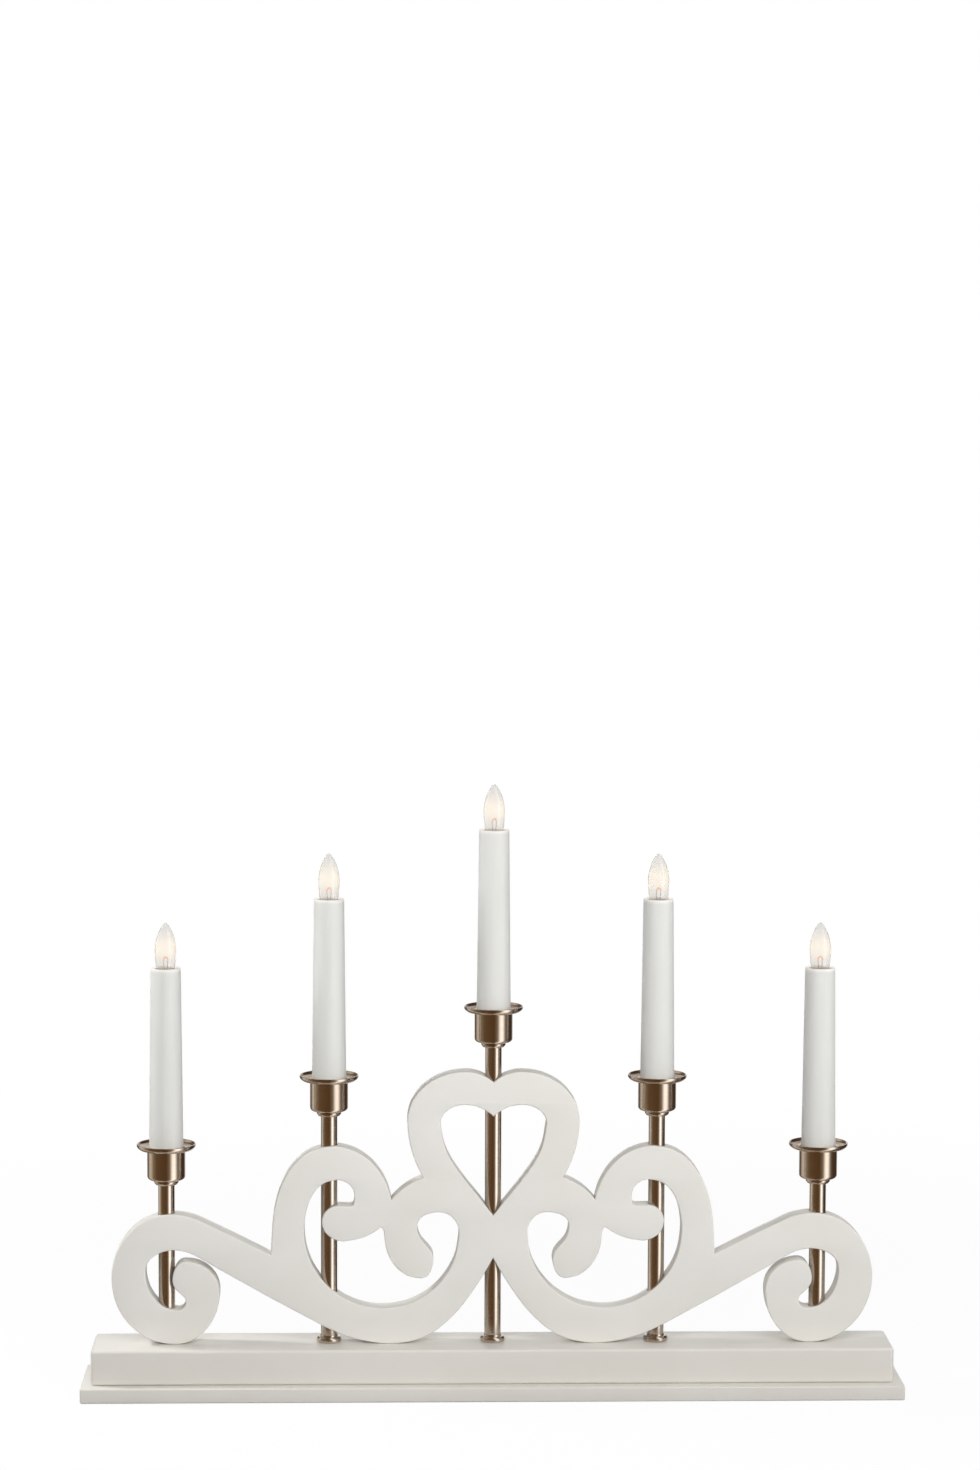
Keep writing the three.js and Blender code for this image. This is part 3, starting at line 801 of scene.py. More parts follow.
@dataclass(frozen=True)
class Stem:
    """A brushed tube from the beam up to the lampholder, its nut below and its collar."""

    radius: float = 5.0
    wall: float = 1.5
    clearance: float = 0.3
    end_round: float = 0.3
    nut_across_flats: float = 17.0
    collar_radius: float = 7.5
    collar_flange: float = 3.4
    collar_height: float = 4.6
    collar_throat: float = 0.35

    @property
    def bore(self) -> float:
        """Returns the radius of a hole that the stem passes through."""
        return self.radius + self.clearance

    def build(self, stand: Stand) -> None:
        """Builds one stem with its fasteners.

        Args:
            stand: where it stands.
        """
        self.build_tube(stand)
        self.build_nut(stand)
        node = f"stem_collar_{stand.number}"
        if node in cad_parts:
            self.build_collar(stand, node)

    def build_tube(self, stand: Stand) -> None:
        """Builds the tube, with eased ends."""
        inner, ease = self.radius - self.wall, self.end_round
        mesh = turned("tube", [
            Corner(inner, stand.stem_base, ease), Corner(self.radius, stand.stem_base, ease),
            Corner(self.radius, stand.stem_top, ease), Corner(inner, stand.stem_top, ease),
        ])
        number = stand.number
        install(f"stem_{number}", moved(mesh, stand.x), STEM_METAL, nodes=[f"stem_tube_{number}"])

    def build_nut(self, stand: Stand) -> None:
        """Builds the hexagon nut under the beam, with its corners eased by a cone."""
        low, high = node_box(f"stem_nut_{stand.number}")
        corner_radius = self.nut_across_flats / math.sqrt(3)
        ease = corner_radius - self.nut_across_flats / 2
        blank = turned("nut", [
            Corner(self.bore, low.z), Corner(corner_radius - ease, low.z),
            Corner(corner_radius, low.z + ease / 2), Corner(corner_radius, high.z - ease / 2),
            Corner(corner_radius - ease, high.z), Corner(self.bore, high.z),
        ])
        flats = []
        for side in range(6):
            flat = slab(
                "flat", Vector((self.nut_across_flats / 2, -corner_radius, low.z - 1)),
                Vector((corner_radius + 1, corner_radius, high.z + 1)),
            )
            flat.transform(Matrix.Rotation(math.radians(30 + 60 * side), 4, "Z"))
            flats.append(flat)
        number = stand.number
        install(f"nut_{number}", moved(cut(blank, flats), stand.x), SCREW_STEEL, nodes=[f"stem_nut_{number}"])

    def build_collar(self, stand: Stand, node: str) -> None:
        """Builds the collar where the stem meets the beam.

        Args:
            stand: where the stem stands.
            node: the collar's node.
        """
        foot = node_box(node)[0].z
        throat = self.radius + self.collar_throat
        shoulder = foot + self.collar_flange
        mesh = turned("collar", [
            Corner(self.bore, foot), Corner(self.collar_radius - 0.5, foot, 0.3),
            Corner(self.collar_radius, foot + 0.9, 0.8), Corner(self.collar_radius - 0.1, shoulder - 1.0, 0.9),
            Corner(self.collar_radius - 1.0, shoulder, 0.6), Corner(throat, shoulder + 0.1, 0.3),
            Corner(throat - 0.1, foot + self.collar_height, 0.15),
            Corner(self.radius + 0.05, foot + self.collar_height),
            Corner(self.radius + 0.05, foot + self.collar_height - 1.0), Corner(self.bore, shoulder - 0.6),
        ])
        install(f"collar_{stand.number}", moved(mesh, stand.x), STEM_METAL, nodes=[node])


@dataclass(frozen=True)
class CandleCup:
    """A spun cup with a dished flange, a rolled rim and a turned neck."""

    rim_radius: float = 18.0
    bead: float = 0.9
    radius: float = 11.6
    wall: float = 0.8
    body_depth: float = 16.9
    bottom_round: float = 4.0
    floor_thickness: float = 1.4
    neck_radius: float = 7.5
    neck_height: float = 3.0
    neck_bore: float = 5.3
    flange_dip: float = 1.5
    flange_thickness: float = 0.9
    lip_round: float = 1.6
    lip_height: float = 1.2

    @property
    def bore(self) -> float:
        """Returns the inside radius."""
        return self.radius - self.wall

    @property
    def floor(self) -> float:
        """Returns the height of the inside floor."""
        return -self.body_depth - self.bottom_round + self.floor_thickness

    @property
    def neck_base(self) -> float:
        """Returns the height of the neck's lower face."""
        return -self.body_depth - self.bottom_round - self.neck_height

    def build(self, stand: Stand) -> None:
        """Builds one cup.

        Args:
            stand: where it stands.
        """
        bottom = -self.body_depth - self.bottom_round
        neck_groove = self.neck_radius - 0.4
        under = self.flange_dip + self.flange_thickness
        lip = self.rim_radius - self.lip_round
        inner_lip = self.rim_radius - self.flange_thickness
        mesh = turned("cup", [
            Corner(self.neck_bore, self.neck_base), Corner(self.neck_radius - 0.9, self.neck_base, 0.5),
            Corner(self.neck_radius, self.neck_base + 1.3, 1.0), Corner(self.neck_radius, bottom - 0.6, 0.35),
            Corner(neck_groove, bottom - 0.35, 0.2), Corner(neck_groove, bottom, 0.2),
            Corner(self.radius, bottom, self.bottom_round), Corner(self.radius, -under, 0.9),
            Corner(lip - 0.4, self.lip_round * -1.5, 2.2), Corner(self.rim_radius, -0.6, 1.8),
            Corner(self.rim_radius - 0.1, self.lip_height, 0.4), Corner(inner_lip + 0.1, self.lip_height - 0.1, 0.35),
            Corner(inner_lip - 0.9, -0.55, 3.2), Corner(lip - 2.6, -1.1, 4.0),
            Corner(self.bore, -self.flange_dip, 0.7), Corner(self.bore, -self.body_depth - 1.4, 2.4),
            Corner(self.bore - 3.0, self.floor, 1.0), Corner(self.neck_bore, self.floor),
        ])
        number = stand.number
        install(f"cup_{number}", moved(mesh, stand.x, 0, stand.rim), CUP_METAL, nodes=[f"candle_cup_{number}"])


@dataclass(frozen=True)
class CandleSleeve:
    """The tapered white tube that looks like a candle."""

    rise: float = 109.0
    inside_cup: float = 11.0
    top_radius: float = 9.15
    bottom_radius: float = 10.5
    wall: float = 0.9
    top_wall: float = 1.0
    shoulder_round: float = 0.8
    mouth_radius: float = 7.4

    def build(self, stand: Stand) -> None:
        """Builds one sleeve.

        Args:
            stand: where it stands.
        """
        inner_top = self.rise - self.top_wall
        mesh = turned("sleeve", [
            Corner(self.bottom_radius - self.wall, -self.inside_cup),
            Corner(self.bottom_radius, -self.inside_cup, 0.25),
            Corner(self.top_radius, self.rise, self.shoulder_round),
            Corner(self.mouth_radius, self.rise, 0.4),
            Corner(self.mouth_radius, inner_top, 0.3),
            Corner(self.top_radius - self.wall, inner_top, 0.3),
        ])
        # The inward faces take the finish whose bright emission is painted light.
        for finish in (SLEEVE, SLEEVE_INSIDE_PAINTED_GLOW):
            mesh.materials.append(finish.material())
        for face in mesh.polygons:
            inward = face.normal.xy.dot(face.center.xy) < 0.0
            face.material_index = 1 if inward else 0
        number = stand.number
        install(
            f"sleeve_{number}", moved(mesh, stand.x, 0, stand.rim), SLEEVE, nodes=[f"candle_sleeve_{number}"]
        )


@dataclass(frozen=True)
class Lampholder:
    """The moulded holder inside the sleeve, with its threaded shell and centre contact."""

    cup: CandleCup
    sleeve: CandleSleeve
    gap: float = 0.3
    shaft_radius: float = 6.0
    socket_depth: float = 20.0
    socket_floor_wall: float = 4.0
    shoulder_height: float = 2.3
    spigot_height: float = 6.0
    taper: float = 2.0
    top_gap: float = 5.0
    wire_bore: float = 3.2
    stem_bore: float = 5.3
    shell_radius: float = 5.45
    shell_wall: float = 0.35
    shell_height: float = 10.0
    thread_pitch: float = 1.81

    @property
    def socket_floor(self) -> float:
        """Returns the height of the socket's floor."""
        return self.sleeve.rise - self.socket_depth

    def build(self, stand: Stand) -> None:
        """Builds one lampholder.

        Args:
            stand: where it stands.
        """
        self.build_body(stand)
        self.build_shell(stand)
        self.build_contact(stand)

    def build_body(self, stand: Stand) -> None:
        """Builds the moulding that stands on the stem and carries the lamp."""
        base = self.cup.floor + self.gap
        foot = self.cup.bore - 3.0 - self.gap
        shoulder_top = -self.sleeve.inside_cup - self.gap
        shoulder = self.cup.bore - self.gap
        spigot = self.sleeve.bottom_radius - self.sleeve.wall - self.gap
        spigot_top = shoulder_top + self.spigot_height
        socket = self.sleeve.top_radius - self.sleeve.wall - self.gap
        socket_base = self.socket_floor - self.socket_floor_wall
        top = self.sleeve.rise - self.top_gap
        socket_bore = self.shell_radius + self.gap
        stem_top = stand.stem_top - stand.rim + self.gap
        mesh = turned("holder", [
            Corner(self.stem_bore, base), Corner(foot, base, 0.3),
            Corner(foot, shoulder_top - self.shoulder_height), Corner(shoulder, shoulder_top - self.shoulder_height, 0.4),
            Corner(shoulder, shoulder_top, 0.3), Corner(spigot, shoulder_top), Corner(spigot, spigot_top, 0.6),
            Corner(self.shaft_radius, spigot_top + self.taper, 1.0), Corner(self.shaft_radius, socket_base, 1.0),
            Corner(socket, socket_base + self.taper, 0.8), Corner(socket, top, 0.5), Corner(socket_bore, top, 0.3),
            Corner(socket_bore, self.socket_floor), Corner(self.wire_bore, self.socket_floor, 0.3),
            Corner(self.wire_bore, stem_top), Corner(self.stem_bore, stem_top),
        ])
        number = stand.number
        install(
            f"holder_{number}", moved(mesh, stand.x, 0, stand.rim), HOLDER_PLASTIC, nodes=[f"lampholder_{number}"]
        )

    def build_shell(self, stand: Stand) -> None:
        """Builds the brass screw shell with its rolled inside thread."""
        base = self.socket_floor + self.gap
        turns = self.shell_height / self.thread_pitch
        outer = self.shell_radius
        inner = outer - self.shell_wall
        mesh = rolled_shell("shell", inner, outer, base, self.shell_height, turns, 0.12)
        number = stand.number
        install(f"shell_{number}", moved(mesh, stand.x, 0, stand.rim), BRASS, nodes=[f"screw_shell_{number}"])

    def build_contact(self, stand: Stand) -> None:
        """Builds the centre contact: a domed head on a shank."""
        number = stand.number
        node = f"centre_contact_{number}"
        low, high = node_box(node)
        head = (high.x - low.x) / 2
        mesh = turned("contact", [
            Corner(0, low.z), Corner(1.2, low.z, 0.2), Corner(1.2, high.z - 0.8, 0.1),
            Corner(head, high.z - 0.8, 0.2), Corner(head, high.z, 0.3), Corner(0, high.z),
        ], closed=False)
        install(f"contact_{number}", moved(mesh, stand.x), BRASS, f"contact_{number}", [node])


def rolled_shell(
    name: str, inner: float, outer: float, base: float, height: float, turns: float, wave: float
) -> bpy.types.Mesh:
    """Makes a thin metal shell with a round thread rolled into its wall.

    Args:
        name: the mesh's name.
        inner: its inside radius.
        outer: its outside radius.
        base: the height of its lower edge.
        height: its height.
        turns: how many turns of thread it has.
        wave: how deep the thread is.

    Returns:
        The mesh.
    """
    sides, rows = 48, 48
    middle = (inner + outer) / 2
    wall = (outer - inner) / 2
    points = []
    for row in range(2 * rows + 2):
        share = (row if row <= rows else 2 * rows + 1 - row) / rows
        side_of_wall = wall if row <= rows else -wall
        fade = math.sin(math.pi * share) ** 0.5 if 0.0 < share < 1.0 else 0.0
        for side in range(sides):
            angle = 2 * math.pi * side / sides
            thread = wave * fade * math.sin(2 * math.pi * turns * share - angle)
            radius = middle + side_of_wall * 0.5 + thread
            points.append(Vector((radius * math.cos(angle), radius * math.sin(angle), base + height * share)))
    return mesh_of(name, points, grid_faces(2 * rows + 2, sides, True, True))


@dataclass(frozen=True)
class Bulb:
    """A clear screw-in candle lamp: cap, glass and a glowing filament on its glass stem."""

    sleeve: CandleSleeve
    holder: Lampholder
    rise: float = 27.5
    glass_radius: float = 7.05
    glass_wall: float = 0.35
    neck_radius: float = 3.8
    neck_length: float = 3.0
    neck_rise: float = 0.6
    cap_radius: float = 4.5
    cap_wall: float = 0.4
    cap_height: float = 9.0
    cap_lift: float = 1.3
    tip_radius: float = 1.6
    tip_height: float = 1.8
    wire_radius: float = 0.16
    lead_x: float = 0.9
    half_span: float = 1.35
    filament_rise: float = 6.6
    filament_drop: float = 2.8
    coil_turns: int = 12
    outline: tuple[Point, ...] = (
        (0.71, 32.0), (0.82, 27.0), (0.89, 21.5), (0.92, 16.5), (0.87, 12.3), (0.775, 9.3),
        (0.65, 6.6), (0.48, 4.0), (0.3, 1.8), (0.155, 0.45), (0.0, 0.0),
    )

    @property
    def cap_base(self) -> float:
        """Returns the height of the cap's lower edge."""
        return self.holder.socket_floor + self.cap_lift

    @property
    def cap_top(self) -> float:
        """Returns the height of the cap's upper edge."""
        return self.cap_base + self.cap_height

    def build(self, stand: Stand) -> None:
        """Builds one lamp.

        Args:
            stand: where it stands.
        """
        body = f"bulb_{stand.number}"
        self.build_glass(stand, body)
        self.build_cap(stand, body)
        self.build_mount(stand, body)
        self.build_filament(stand, body)

    def build_glass(self, stand: Stand, body: str) -> None:
        """Builds the drop-shaped glass with its wall's inside and outside.

        Args:
            stand: where the lamp stands.
            body: the body that it turns with.
        """
        tip = self.sleeve.rise + self.rise
        marks = [Vector((share * self.glass_radius, tip - depth)) for share, depth in self.outline]
        outside = smooth_line(marks)
        inside = []
        for before, spot, after in zip(outside, outside[1:], outside[2:]):
            ahead = (after - before).normalized()
            inner = spot + self.glass_wall * Vector((-ahead.y, ahead.x))
            if inner.x > self.glass_wall:
                inside.append(inner)
        neck = self.neck_radius
        corners = [Corner(0.0, tip - self.glass_wall)]
        corners += [Corner(*spot) for spot in inside[::-3]]
        corners += [
            Corner(neck - self.glass_wall, self.cap_top + self.neck_rise, 0.8),
            Corner(neck - self.glass_wall, self.cap_top - self.neck_length),
            Corner(neck, self.cap_top - self.neck_length, 0.1),
            Corner(neck, self.cap_top + self.neck_rise, 0.8),
        ]
        corners += [Corner(*spot) for spot in outside]
        mesh = turned("glass", corners, closed=False, sides=64)
        name = f"lamp_glass_{stand.number}"
        install(name, moved(mesh, stand.x, 0, stand.rim), GLASS, body, [f"bulb_glass_{stand.number}"])

    def build_cap(self, stand: Stand, body: str) -> None:
        """Builds the threaded cap, its black insulator and its solder tip.

        Args:
            stand: where the lamp stands.
            body: the body that it turns with.
        """
        number = stand.number
        base, outer = self.cap_base, self.cap_radius
        inner = outer - self.cap_wall
        skirt = 2.2
        threaded = self.cap_height - skirt
        turns = threaded / self.holder.thread_pitch
        shell = rolled_shell("cap", inner, outer, base + 0.8, threaded, turns, 0.22)
        collar = turned("cap", [
            Corner(inner, base + 0.8 + threaded), Corner(outer, base + 0.8 + threaded),
            Corner(outer, self.cap_top, 0.2), Corner(inner, self.cap_top),
        ])
        cap = joined("cap", [shell, collar])
        install(f"cap_{number}", moved(cap, stand.x, 0, stand.rim), BRASS, body, [f"bulb_cap_{number}"])
        insulator = turned("insulator", [
            Corner(0, base - 1.2), Corner(self.tip_radius + 0.2, base - 1.2, 0.3),
            Corner(outer - 0.8, base, 0.4), Corner(inner, base + 0.8, 0.2), Corner(0, base + 0.8),
        ], closed=False)
        install(f"cap_insulator_{number}", moved(insulator, stand.x, 0, stand.rim), INSULATOR, body)
        bottom = base - self.tip_height
        tip = turned("tip", [
            Corner(0, bottom), Corner(self.tip_radius, bottom, 0.6), Corner(self.tip_radius, base - 1.1),
            Corner(0, base - 1.1),
        ], closed=False)
        install(f"cap_tip_{number}", moved(tip, stand.x, 0, stand.rim), SOLDER, body)

    def arch(self) -> list[Vector]:
        """Returns the filament's middle line, from one lead wire over to the other."""
        top = self.sleeve.rise + self.filament_rise
        foot = top - self.filament_drop
        marks = [
            Vector((-self.half_span, 0, foot)), Vector((-self.half_span * 0.85, 0, foot + 1.8)),
            Vector((0, 0, top)), Vector((self.half_span * 0.85, 0, foot + 1.8)), Vector((self.half_span, 0, foot)),
        ]
        return smooth_line(marks, 24)

    def build_mount(self, stand: Stand, body: str) -> None:
        """Builds the glass stem and the two lead wires that carry the filament.

        Args:
            stand: where the lamp stands.
            body: the body that it turns with.
        """
        foot = self.cap_base + 1.8
        waist = self.sleeve.rise - 2.6
        stem = turned("mount", [
            Corner(0, self.cap_top - 2.5), Corner(2.2, self.cap_top - 2.5, 0.4), Corner(1.9, self.cap_top + 3, 1.5),
            Corner(0.95, waist - 3.5, 2.0), Corner(0.95, waist - 0.8, 0.6), Corner(1.5, waist, 0.7),
            Corner(1.2, waist + 1.3, 0.7), Corner(0, waist + 1.5),
        ], closed=False, sides=40)
        name = f"lamp_stem_{stand.number}"
        install(name, moved(stem, stand.x, 0, stand.rim), GLASS_STEM, body)
        top = self.arch()[0].z
        leads = []
        for side in (-1, 1):
            path = smooth_line([
                Vector((side * 0.5, 0, foot)), Vector((side * 0.5, 0, waist)),
                Vector((side * self.lead_x, 0, waist + 2.2)), Vector((side * self.half_span, 0, top)),
            ], 8)
            leads.append(tube("lead", path, self.wire_radius))
        wires = joined("leads", leads)
        name = f"lead_wires_{stand.number}"
        install(name, moved(wires, stand.x, 0, stand.rim), LEAD_WIRE, body)

    def build_filament(self, stand: Stand, body: str) -> None:
        """Builds the coiled filament along its arch.

        Args:
            stand: where the lamp stands.
            body: the body that it turns with.
        """
        line = self.arch()
        steps_per_turn = 10
        count = self.coil_turns * steps_per_turn
        path = []
        for step in range(count + 1):
            along = step / count * (len(line) - 1)
            index = min(int(along), len(line) - 2)
            spot = line[index].lerp(line[index + 1], along - index)
            ahead = (line[index + 1] - line[index]).normalized()
            across = Vector((0, 1, 0))
            angle = 2 * math.pi * step / steps_per_turn
            path.append(spot + 0.42 * (math.cos(angle) * across + math.sin(angle) * ahead.cross(across)))
        mesh = tube("filament", path, 0.13, 6)
        name = f"filament_{stand.number}"
        install(name, moved(mesh, stand.x, 0, stand.rim), TUNGSTEN, body, [f"bulb_filament_{stand.number}"])


@dataclass(frozen=True)
class ScrollBoard:
    """The fretted board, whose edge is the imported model's, drawn smooth."""

    bore: float
    edge_round: float = 0.9
    corner_angle: float = 40.0
    step: float = 0.06

    def build(self, stands: Sequence[Stand]) -> None:
        """Builds the board with a bore for each stem.

        Args:
            stands: where the stems stand.
        """
        low, high = node_box("scroll_board")
        rings = [self.smooth_ring(ring) for ring in self.front_rings(low.y)]
        LOG.info("scroll board edge: %d rings", len(rings))
        mesh = self.fill(rings, high.y - low.y)
        bores = [moved(rod("bore", self.bore, low.z - 1, stand.rim), stand.x) for stand in stands]
        board = cut(mesh, bores)
        self.dress(board)
        install("scroll", board, PAINTED_FACE, nodes=["scroll_board"])

    def front_rings(self, front: float) -> list[list[Vector]]:
        """Finds the closed edges of the board's front face.

        Args:
            front: how far forward that face lies.

        Returns:
            Each edge's corners in order, as (x, z).
        """
        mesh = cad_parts["scroll_board"].data
        onward = {}
        for face in mesh.polygons:
            spots = [mesh.vertices[number].co / MM for number in face.vertices]
            if all(abs(spot.y - front) < 0.01 for spot in spots):
                keys = [(round(spot.x, 3), round(spot.z, 3)) for spot in spots]
                for start, end in zip(keys, keys[1:] + keys[:1]):
                    if onward.get(end) and start in onward[end]:
                        onward[end].remove(start)
                    else:
                        onward.setdefault(start, set()).add(end)
        rings = []
        while any(onward.values()):
            first = next(key for key, ends in onward.items() if ends)
            ring, here = [], first
            while onward.get(here):
                ring.append(Vector(here))
                here = onward[here].pop()
            rings.append(ring)
        return rings

    def smooth_ring(self, ring: Sequence[Vector]) -> list[Vector]:
        """Draws a smooth edge through a ring's corners, and keeps its sharp ones.

        Args:
            ring: the edge's corners in order.

        Returns:
            The edge's finer points.
        """
        count = len(ring)
        chords = [ring[(index + 1) % count] - ring[index] for index in range(count)]
        sharp, headings = [], []
        for index in range(count):
            arriving, leaving = chords[index - 1], chords[index]
            sharp.append(math.degrees(arriving.angle(leaving)) > self.corner_angle)
            headings.append((arriving + leaving).normalized())
        points = []
        for index, chord in enumerate(chords):
            after = (index + 1) % count
            along = chord.normalized()
            start = along if sharp[index] else headings[index]
            end = along if sharp[after] else headings[after]
            if sharp[index] and not sharp[after]:
                start = 2 * end.dot(along) * along - end
            if sharp[after] and not sharp[index]:
                end = 2 * start.dot(along) * along - start
            points += self.stretch(ring[index], ring[after], start, end)
        return points

    def stretch(self, start: Vector, end: Vector, leaving: Vector, arriving: Vector) -> list[Vector]:
        """Draws one stretch of edge as a near arc.

        Args:
            start: where it starts.
            end: where it ends.
            leaving: the way that it leaves the start.
            arriving: the way that it reaches the end.

        Returns:
            Its points, without the last.
        """
        turn = leaving.angle(arriving)
        reach = (end - start).length / (3 * math.cos(turn / 4) ** 2)
        first, second = start + leaving * reach, end - arriving * reach
        steps = max(2, math.ceil(turn / self.step))
        points = []
        for step in range(steps):
            t = step / steps
            s = 1 - t
            points.append(s**3 * start + 3 * s**2 * t * first + 3 * s * t**2 * second + t**3 * end)
        return points

    def fill(self, rings: Sequence[Sequence[Vector]], thickness: float) -> bpy.types.Mesh:
        """Makes the flat board inside its rings, with eased edges.

        Args:
            rings: the outer edge and the openings, as (x, z).
            thickness: how thick the board is.

        Returns:
            The mesh, standing upright.
        """
        curve = bpy.data.curves.new("scroll", "CURVE")
        curve.dimensions = "2D"
        curve.fill_mode = "BOTH"
        curve.extrude = thickness / 2 - self.edge_round
        curve.bevel_depth = self.edge_round
        curve.bevel_resolution = 4
        curve.offset = -self.edge_round
        for ring in rings:
            spline = curve.splines.new("POLY")
            spline.points.add(len(ring) - 1)
            for point, spot in zip(spline.points, ring):
                point.co = (spot.x, spot.y, 0.0, 1.0)
            spline.use_cyclic_u = True
        drawing = bpy.data.objects.new("drawing", curve)
        bpy.context.scene.collection.objects.link(drawing)
        graph = bpy.context.evaluated_depsgraph_get()
        mesh = bpy.data.meshes.new_from_object(drawing.evaluated_get(graph))
        bpy.data.objects.remove(drawing)
        bpy.data.curves.remove(curve)
        working = bmesh.new()
        working.from_mesh(mesh)
        bmesh.ops.remove_doubles(working, verts=working.verts, dist=1e-3)
        working.to_mesh(mesh)
        working.free()
        mesh.transform(Matrix.Rotation(math.pi / 2, 4, "X"))
        return shade(mesh)

    def dress(self, mesh: bpy.types.Mesh) -> None:
        """Gives the flat faces and the sawn edge their own paint.

        Args:
            mesh: the board.
        """
        mesh.materials.clear()
        mesh.materials.append(PAINTED_FACE.material())
        mesh.materials.append(PAINTED_EDGE.material())
        for face in mesh.polygons:
            face.material_index = 0 if abs(face.normal.y) > 0.3 else 1


@dataclass(frozen=True)
class Base:
    """The lower board and the beam on it, with the screws between them and the lead's bushing."""

    stem: Stem
    board_edge: float = 1.0
    board_corner: float = 1.2
    beam_edge: float = 1.8
    beam_corner: float = 2.5
    channel_width: float = 12.0
    channel_end: float = 8.0
    nut_room: float = 0.8
    inlet_width: float = 8.0
    screw_radius: float = 1.9
    head_radius: float = 3.8
    head_height: float = 2.6
    slot_width: float = 0.9
    slot_depth: float = 0.9
    bushing_radius: float = 4.5
    bushing_wall: float = 1.2
    bushing_flange: float = 6.2
    bushing_flange_thickness: float = 1.6
    gap: float = 0.3
    overrun: float = 1.0

    def build(self, stands: Sequence[Stand]) -> None:
        """Builds the whole base.

        Args:
            stands: where the stems stand.
        """
        screws = {side: node_box(f"base_screw_{side}") for side in ("left", "right")}
        self.build_board([(low + high) / 2 for low, high in screws.values()])
        self.build_beam(stands)
        for side, (low, high) in screws.items():
            self.build_screw(side, low, high)
        self.build_bushing()

    def build_board(self, screws: Sequence[Vector]) -> None:
        """Builds the lower board with its counterbored screw holes.

        Args:
            screws: the middles of the screws.
        """
        low, high = node_box("base_lower_board")
        board = slab("board", low, high, self.board_corner, self.board_edge)
        holes = []
        for spot in screws:
            shaft = rod("hole", self.screw_radius + self.gap, -self.overrun, high.z + self.overrun)
            head = rod("hole", self.head_radius + self.gap, -self.overrun, self.head_height + 2 * self.gap)
            holes += [moved(shaft, spot.x, spot.y), moved(head, spot.x, spot.y)]
        install("lower_board", cut(board, holes), PAINTED_TIMBER_DARKENED_FOR_SHADE, nodes=["base_lower_board"])

    def build_beam(self, stands: Sequence[Stand]) -> None:
        """Builds the beam with its channel, nut pockets, bores and the bushing's hole.

        Args:
            stands: where the stems stand.
        """
        low, high = node_box("base_upper_beam")
        beam = slab("beam", low, high, self.beam_corner, self.beam_edge)
        nut_top = node_box("stem_nut_1")[1].z + self.gap
        under = low.z - self.overrun
        reach = stands[-1].x + self.channel_end
        half = self.channel_width / 2
        bushing = node_box("cord_bushing")
        middle = (bushing[0] + bushing[1]) / 2
        inlet = self.inlet_width / 2
        tools = [
            slab("channel", Vector((-reach, -half, under)), Vector((reach, half, nut_top))),
            slab(
                "inlet", Vector((middle.x - inlet, half - self.overrun, under)),
                Vector((middle.x + inlet, bushing[0].y, nut_top)),
            ),
        ]
        pocket = self.stem.nut_across_flats / math.sqrt(3) + self.nut_room
        for stand in stands:
            tools.append(moved(rod("bore", self.stem.bore, under, high.z + self.overrun), stand.x))
            tools.append(moved(rod("pocket", pocket, under, nut_top + 0.01), stand.x))
        hole = facing_back(rod("hole", self.bushing_radius + self.gap, 0, bushing[1].y))
        tools.append(moved(hole, middle.x, bushing[0].y - self.overrun, middle.z))
        install("beam", cut(beam, tools), PAINTED_TIMBER_DARKENED_FOR_SHADE, nodes=["base_upper_beam"])

    def build_screw(self, side: str, low: Vector, high: Vector) -> None:
        """Builds one slotted countersunk screw.

        Args:
            side: left or right.
            low: its node's lowest corner.
            high: its node's highest corner.
        """
        neck = low.z + self.head_height
        corners = [
            Corner(0, low.z), Corner(self.head_radius, low.z, 0.15), Corner(self.head_radius, low.z + 0.4, 0.1),
            Corner(self.screw_radius, neck, 0.6),
        ]
        pitch, root = 1.4, self.screw_radius - 0.45
        thread = neck + 3.0
        while thread + pitch < high.z - 3.0:
            corners += [Corner(root, thread), Corner(root, thread + pitch * 0.5), Corner(self.screw_radius, thread + pitch * 0.8)]
            thread += pitch
        corners += [Corner(root, thread), Corner(0.3, high.z, 0.2), Corner(0, high.z)]
        body = turned("screw", corners, closed=False, sides=40)
        slot = slab(
            "slot", Vector((-self.head_radius - 1, -self.slot_width / 2, low.z - 1)),
            Vector((self.head_radius + 1, self.slot_width / 2, low.z + self.slot_depth)),
        )
        middle = (low + high) / 2
        mesh = moved(cut(body, [slot]), middle.x, middle.y)
        install(f"screw_{side}", mesh, SCREW_STEEL, nodes=[f"base_screw_{side}"])

    def build_bushing(self) -> None:
        """Builds the bushing in the back of the beam."""
        low, high = node_box("cord_bushing")
        bore = self.bushing_radius - self.bushing_wall
        length = high.y - low.y
        flange = length - self.bushing_flange_thickness
        ring = turned("bushing", [
            Corner(bore, 0, 0.3), Corner(self.bushing_radius, 0, 0.3), Corner(self.bushing_radius, flange),
            Corner(self.bushing_flange, flange, 0.3), Corner(self.bushing_flange, length, 0.7),
            Corner(bore, length, 0.6),
        ])
        middle = (low + high) / 2
        mesh = moved(facing_back(ring), middle.x, low.y, middle.z)
        install("lead_bushing", mesh, HOLDER_PLASTIC, nodes=["cord_bushing"])


